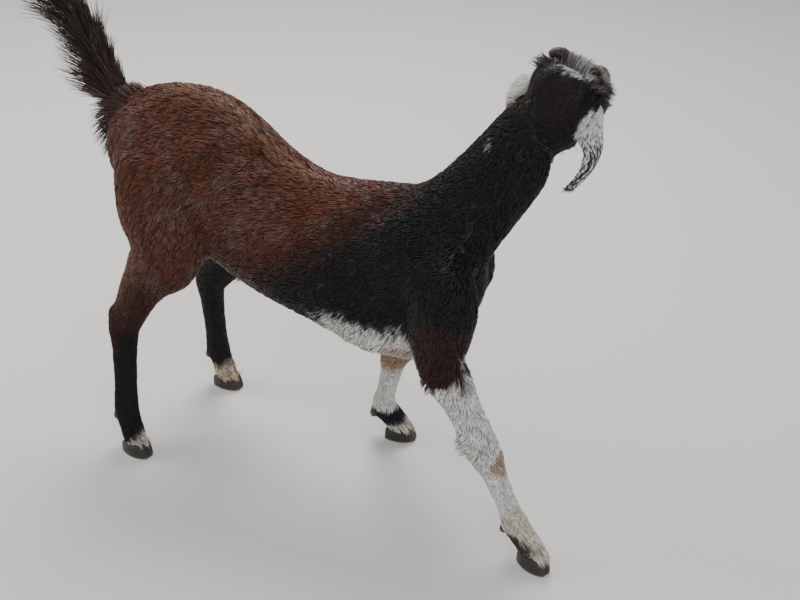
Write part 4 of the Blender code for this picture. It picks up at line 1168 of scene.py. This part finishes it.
def sow(surface, wanted, seed):
    """Roots spread over the surface; wanted is how many a square metre, triangle by triangle."""
    draw = np.random.default_rng(seed)
    corners = surface["places"][surface["tris"]]
    across = np.cross(corners[:, 1] - corners[:, 0], corners[:, 2] - corners[:, 0])
    area = 0.5 * np.linalg.norm(across, axis=1)
    count = np.floor(area * wanted + draw.random(len(area))).astype(int)
    which = np.repeat(np.arange(len(area)), count)
    a = np.sqrt(draw.random(len(which)))
    b = draw.random(len(which))
    mix = np.stack([1 - a, a * (1 - b), a * b], axis=1)[..., None]
    normals = surface["normals"][surface["tris"][which]]
    return {"place": (corners[which] * mix).sum(axis=1), "normal": unit((normals * mix).sum(axis=1)),
            "uv": (surface["uv"][which] * mix).sum(axis=1), "triangle": which, "mix": mix[..., 0]}


def nearest_on(tree, points):
    """The nearest places on the surface, and its outward ways there."""
    places, normals = points.copy(), np.zeros_like(points)
    for i, point in enumerate(points):
        place, normal, _, _ = tree.find_nearest(Vector(point))
        places[i] = place
        normals[i] = normal
    return places, normals


def gather(roots, tips, size, pull, seed):
    """Draws the tips of neighbouring locks together, towards a leader's."""
    draw = np.random.default_rng(seed)
    leaders = np.flatnonzero(draw.random(len(tips)) < 1.0 / size)
    tree = KDTree(len(leaders))
    for k, leader in enumerate(leaders):
        tree.insert(Vector(roots["place"][leader]), k)
    tree.balance()
    own = np.array([leaders[tree.find(Vector(p))[1]] for p in roots["place"]])
    return tips + (tips[own] - tips) * np.asarray(pull)[:, None], own


def lock_faces(count, body):
    """The triangles of count spikes: a root, body - 1 bands of three sides, then the tip."""
    faces = [(0, 1, 2)]
    for ring in range(body - 1):
        for k in range(3):
            a, b = 3 * ring + k, 3 * ring + (k + 1) % 3
            faces += [(a, a + 3, b + 3), (a, b + 3, b)]
    last, tip = 3 * (body - 1), 3 * body
    faces += [(last + k, tip, last + (k + 1) % 3) for k in range(3)]
    return (np.array(faces)[None] + (np.arange(count) * (tip + 1))[:, None, None]).reshape(-1, 3)


def locks_mesh(name, centres, sides, lifts, widths, tint, uv):
    """Closed pointed spikes through rings of centres; the last ring is the tip."""
    count, rings = centres.shape[:2]
    body = rings - 1
    corner = np.array(((-1.0, -0.20), (1.0, -0.20), (0.0, 0.50)))
    spread = (corner[:, 0, None] * sides[:, :body, None, :]
              + corner[:, 1, None] * lifts[:, :body, None, :])
    verts = centres[:, :body, None] + widths[:, :, None, None] * spread
    verts = np.concatenate([verts.reshape(count, -1, 3), centres[:, -1:]], axis=1)
    verts[..., 2] = np.maximum(verts[..., 2], FLOOR_GAP)
    per = verts.shape[1]
    faces = lock_faces(count, body)
    mesh = bpy.data.meshes.new(name)
    mesh.vertices.add(count * per)
    mesh.vertices.foreach_set("co", verts.astype(np.float32).ravel())
    mesh.loops.add(len(faces) * 3)
    mesh.loops.foreach_set("vertex_index", faces.astype(np.int32).ravel())
    mesh.polygons.add(len(faces))
    mesh.polygons.foreach_set("loop_start", np.arange(0, len(faces) * 3, 3, dtype=np.int32))
    mesh.polygons.foreach_set("use_smooth", np.ones(len(faces), bool))
    mesh.update(calc_edges=True)
    steps = RING_SHARES if rings == len(RING_SHARES) else np.linspace(0, 1, rings)
    along = np.append(np.repeat(np.array(steps[:body]), 3), 1.0)
    across = np.append(np.tile((-1.0, 1.0, 0.0), body), 0.0)
    # painted shade along each lock, darkest at the root
    painted_shade = ROOT_PAINTED_SHADE + TIP_PAINTED_LIGHT * along
    paint(mesh, (tint[:, None] * painted_shade[:, None]).reshape(-1, 3))
    patch = np.stack([across * PATCH * 0.4, (along - 0.5) * PATCH * 0.8], axis=1)
    flat = (uv[:, None] + patch).reshape(-1, 2)
    layer = mesh.uv_layers.new(name="OFBake")
    layer.data.foreach_set("uv", flat[faces.ravel()].astype(np.float32).ravel())
    strand = np.zeros((count, per, 3), np.float32)
    strand[..., 0] = across
    strand[..., 1] = along
    strand[..., 2] = np.arange(count)[:, None] % 97
    own = mesh.attributes.new("strand", "FLOAT_VECTOR", "POINT")
    own.data.foreach_set("vector", strand.ravel())
    mesh.materials.append(HAIR)
    item = placed(name, mesh)
    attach(item, "root")
    return item


def bend_over(roots, way, length, lift, seed):
    """Where the rings of each lock lie: out of the skin, along its surface, to the tip."""
    draw = np.random.default_rng(seed)
    place, normal = roots["place"], roots["normal"]
    way = unit(way - normal * (way * normal).sum(axis=1, keepdims=True))
    turn = draw.normal(0, 0.13, len(place))
    way = unit(way + np.cross(normal, way) * turn[:, None])
    pull = CLUMP_PULL * ease(0.011, 0.018, length)
    tips, own = gather(roots, place + way * length[:, None], CLUMP_LOCKS, pull, seed + 1)
    lift = lift * (0.75 + 0.5 * draw.random(len(place)))
    lift = lift * (0.8 + 0.4 * draw.random(len(place)))[own]
    base, end_normal = nearest_on(SKIN_TREE, tips)
    # a tip far off the skin hangs loose, and a lock that would cross a crease stays short
    loose = np.linalg.norm(base - tips, axis=1) > 0.45 * length
    held = np.where(length < 0.018, 0.5, 1.0)[:, None]
    base[loose], end_normal[loose] = (place + (tips - place) * held)[loose], normal[loose]
    creased = (normal * end_normal).sum(axis=1) < 0.55
    base[creased] = (place + (tips - place) * 0.35)[creased]
    end_normal[creased] = normal[creased]
    lift = np.where(creased, 0.35 * lift, lift)
    end = base + end_normal * (lift * 0.75)[:, None]
    start = place - normal * HAIR_SINK
    bow = np.clip(((normal - end_normal) * (place - base)).sum(axis=1) / 8, -0.002, 0.004)
    middle = (place + base) / 2 + unit(normal + end_normal) * (lift * 0.80 + bow)[:, None]
    hold = 2 * middle - (start + end) / 2
    shares = np.array(RING_SHARES)[None, :, None]
    centres = ((1 - shares) ** 2 * start[:, None] + 2 * shares * (1 - shares) * hold[:, None]
               + shares ** 2 * end[:, None])
    run = unit(np.gradient(centres, axis=1))
    out = normal[:, None] * (1 - shares) + end_normal[:, None] * shares
    sides = unit(np.cross(run, out))
    return centres, sides, np.cross(sides, run), own


def shades(tint, own, frost_and_sheen, seed):
    """Each lock's colour: lighter and darker by clump and by lock, some with grey tips, partly real
    and partly painted sheen.
    """
    draw = np.random.default_rng(seed)
    clump = draw.normal(1.0, 0.10, len(tint))[own]
    each = draw.normal(1.0, 0.16, len(tint))
    tint = tint * np.clip(clump * each, 0.5, 1.6)[:, None]
    # grey tips, partly real grey hair and partly painted sheen
    pale = 0.14 * (draw.random(len(tint))[own] < frost_and_sheen) + 0.12 * (draw.random(len(tint)) < frost_and_sheen)
    return tint + (np.array(GREY_TIPS_AND_SHEEN) - tint) * pale[:, None]


def strands(finish):
    """Fine darker and lighter hairs along each lock, and the gloss of combed hair."""
    tree = finish.node_tree
    shader = tree.nodes["Principled BSDF"]
    tint = next(n for n in tree.nodes if n.type == "ATTRIBUTE" and n.attribute_name == "tint")
    own = shader_node(tree, "Attribute")
    own.attribute_name = "strand"
    stretch = shader_node(tree, "VectorMath")
    stretch.operation = "MULTIPLY"
    stretch.inputs[1].default_value = (2.6, 0.8, 7.3)
    noise = shader_node(tree, "TexNoise", {"Scale": 1.6, "Detail": 3.0})
    span = shader_node(tree, "MapRange", {"From Min": 0.30, "From Max": 0.70, "To Min": 0.62,
                                          "To Max": 1.40})
    mix = shader_node(tree, "VectorMath")
    mix.operation = "SCALE"
    bump = shader_node(tree, "Bump", {"Strength": 0.35, "Distance": 0.0004})
    join(tree, (own, "Vector", stretch, 0), (stretch, "Vector", noise, "Vector"),
         (noise, "Fac", span, "Value"), (tint, "Color", mix, 0), (span, "Result", mix, "Scale"),
         (mix, "Vector", shader, "Base Color"), (noise, "Fac", bump, "Height"),
         (bump, "Normal", shader, "Normal"))
    return finish


HAIR = strands(finish_of("hair", 0.36, specular=0.27, sheen=0.015))
thin = 1.0


def bare_skin(points, normals):
    """Where no hair grows: inside the lids' folds, the nose and lips' edge, and the soles."""
    local = to_head(points)
    nostril = crease(local, NOSTRIL, 0.0030) > 0.37
    lips = np.maximum(crease(local, MOUTH, 0.0016), crease(local, NOSE, 0.0018)) > 0.4
    sole = (points[:, 2] < 0.026) & (normals[:, 2] < -0.55)
    return nostril | lips | sole | (socket_share(points) > 0.02)


def body_coat():
    """The hair of the trunk, neck, head and legs, in pieces from the rump to the muzzle."""
    surface = surface_of(skin)
    middles = surface["places"][surface["tris"]].mean(axis=1)
    outward = unit(surface["normals"][surface["tris"]].mean(axis=1))
    spacing = comb(middles)[1][:, 3] * thin
    roots = sow(surface, np.where(bare_skin(middles, outward), 0.0, 1.0 / spacing ** 2), 7)
    order = np.argsort(roots["place"][:, 0])
    roots = {key: value[order] for key, value in roots.items()}
    way, sizes = comb(roots["place"])
    length, lift, wide, _ = sizes.T
    length = length * np.random.default_rng(8).uniform(0.75, 1.2, len(length))
    centres, sides, lifts, own = bend_over(roots, way, length, lift, 9)
    tint = markings_and_shade(roots["place"], roots["normal"])
    brown = ease(0.02, 0.08, tint[:, 0]) * ease(0.30, 0.20, tint[:, 0])
    # grey-tipped locks over the brown, partly real grey tips and partly painted sheen; the patches add
    # more painted sheen
    frost_and_sheen = 0.40 * brown * ease(-0.1, 0.6, ripple(roots["place"], 0.07, 61))
    for place, radii in PAINTED_SHEEN_PATCHES:
        frost_and_sheen += 0.30 * brown * spot(roots["place"], place, radii, 0.0)
    tint = shades(tint, own, frost_and_sheen, 10)
    widths = wide[:, None] * thin ** 0.7 * np.array(RING_WIDTHS)
    pieces = math.ceil(len(tint) * LOCK_TRIANGLES / MOST_TRIANGLES)
    for k, part in enumerate(np.array_split(np.arange(len(tint)), pieces)):
        item = locks_mesh(f"coat_{k + 1}", centres[part], sides[part], lifts[part], widths[part],
                          tint[part], roots["uv"][part])


body_coat()


# The forelock. Loose wavy hair over the poll, forehead and brows, brown and grey at the ends. Each
# lock leaves its root along one way and bends over towards another, clear of the horns.

FORELOCK_BROWN, FORELOCK_GREY = (0.044, 0.029, 0.023), (0.30, 0.28, 0.27)
FORELOCK_SPACING, SHORT_LOCK = 0.0013, 0.0045


def long_locks(name, roots, way, length, wide, bend, tint, rings, wave=0.0, deep=0.0012):
    """Locks whose ends hang clear of the skin; wave is how far each swings to its sides."""
    shares = np.linspace(0, 1, rings)[None, :, None]
    reach = length[:, None, None]
    start = roots["place"] - roots["normal"] * deep
    centres = start[:, None] + way[:, None] * reach * shares + bend[:, None] * reach * (
        shares ** 2) * 0.5
    run = unit(np.gradient(centres, axis=1))
    sides = unit(np.cross(run, roots["normal"][:, None] + 0 * run))
    phase = 9.0 * ripple(roots["place"], 0.02, 74)[:, None, None]
    centres = centres + sides * (wave * shares * np.sin(7.5 * shares + phase))
    form = 0.75 + 0.55 * shares[0, :-1, 0] - 0.95 * shares[0, :-1, 0] ** 2
    locks_mesh(name, centres, sides, np.cross(sides, run), wide[:, None] * form, tint, roots["uv"])


def over_horns(points):
    """Places that would hide the outer part of a horn."""
    local = to_head(points)
    aside = np.abs(local[:, 1])
    path = np.array(HORN_PATH)
    behind = np.interp(aside, path[:, 1], path[:, 0]) - local[:, 0]
    above = local[:, 2] - np.interp(aside, path[:, 1], path[:, 2])
    beside = (aside > 0.017) & (aside < 0.044)
    return beside & (behind > -0.0125) & (behind < 0.034) & (above > -0.006 - 0.35 * behind)


def poll_roots():
    """Roots over the poll and forehead, clear of the eyes."""
    surface = surface_of(skin)
    local = to_head(surface["places"][surface["tris"]].mean(axis=1))
    crest = ease(-0.024, -0.012, local[:, 0]) * ease(0.074, 0.056, local[:, 0])
    crest *= ease(0.043, 0.034, np.abs(local[:, 1])) * ease(-0.026, -0.012, local[:, 2])
    crest *= 1 - np.minimum(2.0 * mound(local, (0.054, 0.040, -0.008), (0.020, 0.020, 0.016)), 1.0)
    return sow(surface, crest / FORELOCK_SPACING ** 2, 71)


def forelock():
    roots = poll_roots()
    local = to_head(roots["place"])
    aside, lean = np.abs(local[:, 1]), np.sign(local[:, 1])
    draw = np.random.default_rng(72)
    count = len(local)
    between = ease(0.036, 0.020, aside) * ease(0.056, 0.028, local[:, 0])
    forwards = np.clip((local[:, 0] - 0.004) * 22, -0.6, 1.3 - 0.9 * ease(0.015, 0.030, aside))
    outwards = lean * (0.25 * ease(0.002, 0.012, aside) + 0.75 * ease(0.024, 0.036, aside))
    way = (CROWN * (0.35 + 0.75 * between)[:, None] + FACE * forwards[:, None]
           + LEFT * (outwards * 0.9)[:, None] + 0.26 * draw.normal(size=(count, 3)))
    length = 0.010 + 0.017 * between + 0.005 * ease(0.022, 0.032, aside)
    length = length * draw.uniform(0.75, 1.2, count)
    bend = (FACE * (draw.uniform(-0.2, 0.8, count) * ease(0.034, 0.018, aside))[:, None]
            - CROWN * 0.45 + LEFT * (outwards * 0.5)[:, None])
    tint = markings_and_shade(roots["place"], roots["normal"])
    brown = np.array(FORELOCK_BROWN) * draw.uniform(0.5, 1.6, (count, 1))
    tint = tint + (brown - tint) * (draw.random((count, 1)) < 0.70) * 0.85
    rear = ease(0.016, 0.002, local[:, 0:1])
    pale = draw.random((count, 1)) < 0.04 + 0.32 * between[:, None] * rear
    tint = tint + (np.array(FORELOCK_GREY) - tint) * pale * 0.7
    tips = unit(gather(roots, unit(way), 10, np.full(count, 0.55), 73)[0])
    for share in (0.0, 0.35, 0.7, 1.0):
        reach = (length * share)[:, None]
        hides = over_horns(roots["place"] + tips * reach + bend * reach * share * 0.5)
        length = np.where(hides, np.minimum(length, SHORT_LOCK), length)
    long_locks("forelock", roots, tips, length, draw.uniform(0.0003, 0.0006, count), bend, tint, 6,
               wave=0.0018)


forelock()


# The tail. A raised dock, its brush of dark hair that flares to the end and trails behind, and a
# ruff round its root that runs up on to the dock above and hangs in a skirt below.

TAIL_LINE = ((-0.478, 0.000, 0.532), (-0.497, 0.000, 0.556), (-0.512, 0.001, 0.586),
             (-0.528, 0.002, 0.616), (-0.548, 0.003, 0.643), (-0.570, 0.004, 0.664))
TAIL_HALVES = (0.0165, 0.0150, 0.0130, 0.0110, 0.0090, 0.0050)
DOCK_SKIN, BRUSH_DARK, BRUSH_RED = (0.012, 0.008, 0.007), (0.013, 0.008, 0.007), (0.045, 0.018, 0.010)
BRUSH_PALE, RUFF_DARK = (0.22, 0.15, 0.11), (0.026, 0.013, 0.010)
BRUSH_SPACING, RUFF_SPACING = 0.0026, 0.0022


def tail_dock(rows):
    verts, faces = tube(rows, 36, 8)
    dock = object_of("tail_dock", verts, faces, HIDE, np.tile(DOCK_SKIN, (len(verts), 1)))
    unwrap(dock)
    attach(dock, "root")
    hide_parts("tail")
    return surface_of(dock)


def tail_brush():
    rows = [[*(np.array(place) + BODY), half, half * 0.95, -0.8, 0.0, -0.4]
            for place, half in zip(TAIL_LINE, TAIL_HALVES)]
    surface = tail_dock(rows)
    roots = sow(surface, np.full(len(surface["tris"]), 1 / BRUSH_SPACING ** 2), 81)
    line = spline(rows, 12)[:, :3]
    nearest = np.linalg.norm(roots["place"][:, None] - line[None], axis=2).argmin(axis=1)
    share = nearest / (len(line) - 1)
    along = unit(np.gradient(line, axis=0))[nearest]
    out = unit(roots["place"] - line[nearest] + 1e-6)
    draw = np.random.default_rng(82)
    count = len(share)
    behind = ease(-0.2, 0.9, out @ unit(np.array((-0.85, 0.0, -0.5))))
    spread = 0.30 + 0.45 * behind + 0.18 * draw.normal(size=count)
    way = unit(along + out * spread[:, None] + 0.10 * draw.normal(size=(count, 3)))
    length = (0.036 + 0.030 * share + 0.020 * behind) * draw.uniform(0.70, 1.10, count)
    bend = out * -0.10 + along * 0.30 + 0.12 * draw.normal(size=(count, 3))
    bend += np.array((-0.30, 0, -0.25)) * behind[:, None]
    low = behind * ease(0.45, 0.10, share)
    way = unit(way + np.array((-0.55, 0, -0.15)) * low[:, None])
    tint = np.tile(BRUSH_DARK, (count, 1))
    tint += np.array(BRUSH_RED) * ((1 - share)[:, None] * draw.random((count, 1)))
    pale = (draw.random(count) < 0.10 * behind)[:, None]
    tint = tint + (np.array(BRUSH_PALE) - tint) * pale * 0.7
    tips = unit(gather(roots, way, 12, np.full(count, 0.5), 83)[0])
    long_locks("tail_brush", roots, tips, length, draw.uniform(0.0008, 0.0013, count), bend, tint, 7)


def tail_ruff():
    surface = surface_of(skin)
    root = np.array(TAIL_LINE[0]) + BODY
    off = surface["places"][surface["tris"]].mean(axis=1) - root
    near = ease(1.0, 0.6, np.linalg.norm(off / (0.060, 0.040, 0.085), axis=1))
    roots = sow(surface, near / RUFF_SPACING ** 2, 85)
    off = roots["place"] - root
    draw = np.random.default_rng(86)
    count = len(off)
    below = ease(0.030, -0.035, off[:, 2])
    level = 1 - np.abs(2 * below - 1)
    up_way = np.array((-0.80, 0.0, 0.45)) + roots["normal"] * 0.05
    down_way = np.array((-0.60, 0.0, -0.62)) + roots["normal"] * 0.30
    way = up_way + (down_way - up_way) * below[:, None] + 0.14 * draw.normal(size=(count, 3))
    way[:, 0] -= 0.7 * level
    length = (0.014 + 0.028 * below + 0.026 * level) * draw.uniform(0.7, 1.2, count)
    bend = np.array((-0.10, 0, 0.20)) + np.array((0.30, 0, -0.85)) * below[:, None]
    tint = markings_and_shade(roots["place"], roots["normal"])
    tint = tint + (np.array(RUFF_DARK) - tint) * (0.35 + 0.60 * draw.random((count, 1)))
    tips = unit(gather(roots, unit(way), 11, np.full(count, 0.5), 87)[0])
    long_locks("tail_ruff", roots, tips, length, draw.uniform(0.0007, 0.0012, count), bend, tint, 6)


tail_brush()
tail_ruff()


# The ears' hair. Short over the back of each ear, longer in a tuft at its root and rear edge, and
# thin inside.

EAR_HAIR_SPACING = 0.0014


def ear_coat(side):
    item, along, inside = ears[side]
    surface = surface_of(item)
    tris = surface["tris"]
    full = np.zeros(len(surface["places"]))
    hollow = full.copy()
    full[:len(along)], hollow[:len(inside)] = along, inside
    shown = np.where(hollow[tris].mean(axis=1) > 0.5, 0.30, 1.0) * (full[tris].mean(axis=1) > 0.05)
    roots = sow(surface, shown / EAR_HAIR_SPACING ** 2, 91)
    tris = tris[roots["triangle"]]
    share = (full[tris] * roots["mix"]).sum(axis=1)
    hidden = (hollow[tris] * roots["mix"]).sum(axis=1)
    draw = np.random.default_rng(92)
    line = np.array([roots["place"][np.abs(share - s) < 0.05].mean(axis=0)
                     for s in np.linspace(0, 1, 40)[1:-1]])
    ways = unit(np.gradient(line, axis=0))
    way = ways[np.clip((share * 40).astype(int) - 1, 0, len(ways) - 1)]
    way = unit(way + 0.16 * draw.normal(size=way.shape))
    length = draw.uniform(0.0055, 0.0085, len(share)) + 0.004 * (hidden > 0.5)
    length += 0.006 * ease(0.30, 0.10, share)
    normal = roots["normal"]
    rear = ease(0.1, 0.7, -normal[:, 1]) * ease(0.42, 0.25, share) * (hidden < 0.5)
    length += 0.014 * rear
    way = unit(way + np.array((0.0, -0.9, 0.0)) * rear[:, None])
    tint = ear_tint(roots["place"], share, np.zeros(len(share)))
    tint *= draw.uniform(0.82, 1.12, (len(share), 1))
    way = unit(way - normal * (way * normal).sum(axis=1, keepdims=True) + normal * 0.22)
    long_locks("ear_coat_" + side, roots, way, length, draw.uniform(0.0005, 0.0007, len(share)),
               -normal * 0.36, tint, 4, deep=0.0003)


for side in ears:
    ear_coat(side)


# The studio. A plain pale floor and three soft lamps, and the camera at the photo's angle, worked
# out from the four feet and the outline.

CAMERA_PLACE, CAMERA_LENS, CAMERA_SENSOR = (0.8227, -1.2211, 1.2084), 51.92, 36.0
CAMERA_YAW, CAMERA_PITCH, CAMERA_ROLL = (math.radians(a) for a in (-27.636, 32.306, 1.471))

floor_mesh = bpy.data.meshes.new("floor")
floor_mesh.from_pydata([(-8, -8, 0), (8, -8, 0), (8, 8, 0), (-8, 8, 0)], [], [(0, 1, 2, 3)])
floor_mesh.materials.append(finish_of("floor_pale", 0.85, (0.62, 0.60, 0.57)))
placed("floor", floor_mesh)

world = bpy.data.worlds.new("studio")
bpy.context.scene.world = world
world.use_nodes = True
world.node_tree.nodes["Background"].inputs["Color"].default_value = (0.90, 0.94, 1.0, 1.0)
world.node_tree.nodes["Background"].inputs["Strength"].default_value = 0.60


def softbox(name, place, aim, size, watts, colour):
    data = bpy.data.lights.new(name, "AREA")
    data.shape = "DISK"
    data.size = size
    data.energy = watts
    data.color = colour
    lamp = placed(name, data)
    lamp.location = place
    lamp.rotation_euler = (Vector(aim) - Vector(place)).to_track_quat("-Z", "Y").to_euler()


softbox("key", (-0.6, 1.4, 2.6), (0.0, 0.0, 0.4), 1.4, 75.0, (1.0, 0.98, 0.95))
softbox("side", (1.8, -1.8, 1.8), (0.1, 0.0, 0.3), 1.8, 40.0, (0.95, 0.97, 1.0))
softbox("back", (-2.2, -0.4, 1.8), (0.0, 0.0, 0.35), 1.5, 34.0, (1.0, 0.98, 0.96))


def camera_axes():
    """The camera's right, up and backward ways, as rows."""
    ahead = Vector((math.sin(CAMERA_YAW) * math.cos(CAMERA_PITCH),
                    math.cos(CAMERA_YAW) * math.cos(CAMERA_PITCH), -math.sin(CAMERA_PITCH)))
    level_right = Vector((math.cos(CAMERA_YAW), -math.sin(CAMERA_YAW), 0))
    level_up = level_right.cross(ahead)
    right = level_right * math.cos(CAMERA_ROLL) + level_up * math.sin(CAMERA_ROLL)
    up = level_up * math.cos(CAMERA_ROLL) - level_right * math.sin(CAMERA_ROLL)
    return Matrix((right, up, -ahead))


lens = bpy.data.cameras.new("camera")
lens.lens = CAMERA_LENS
lens.sensor_width = CAMERA_SENSOR
camera = placed("camera", lens)
camera.matrix_world = Matrix.Translation(CAMERA_PLACE) @ camera_axes().transposed().to_4x4()
bpy.context.scene.camera = camera
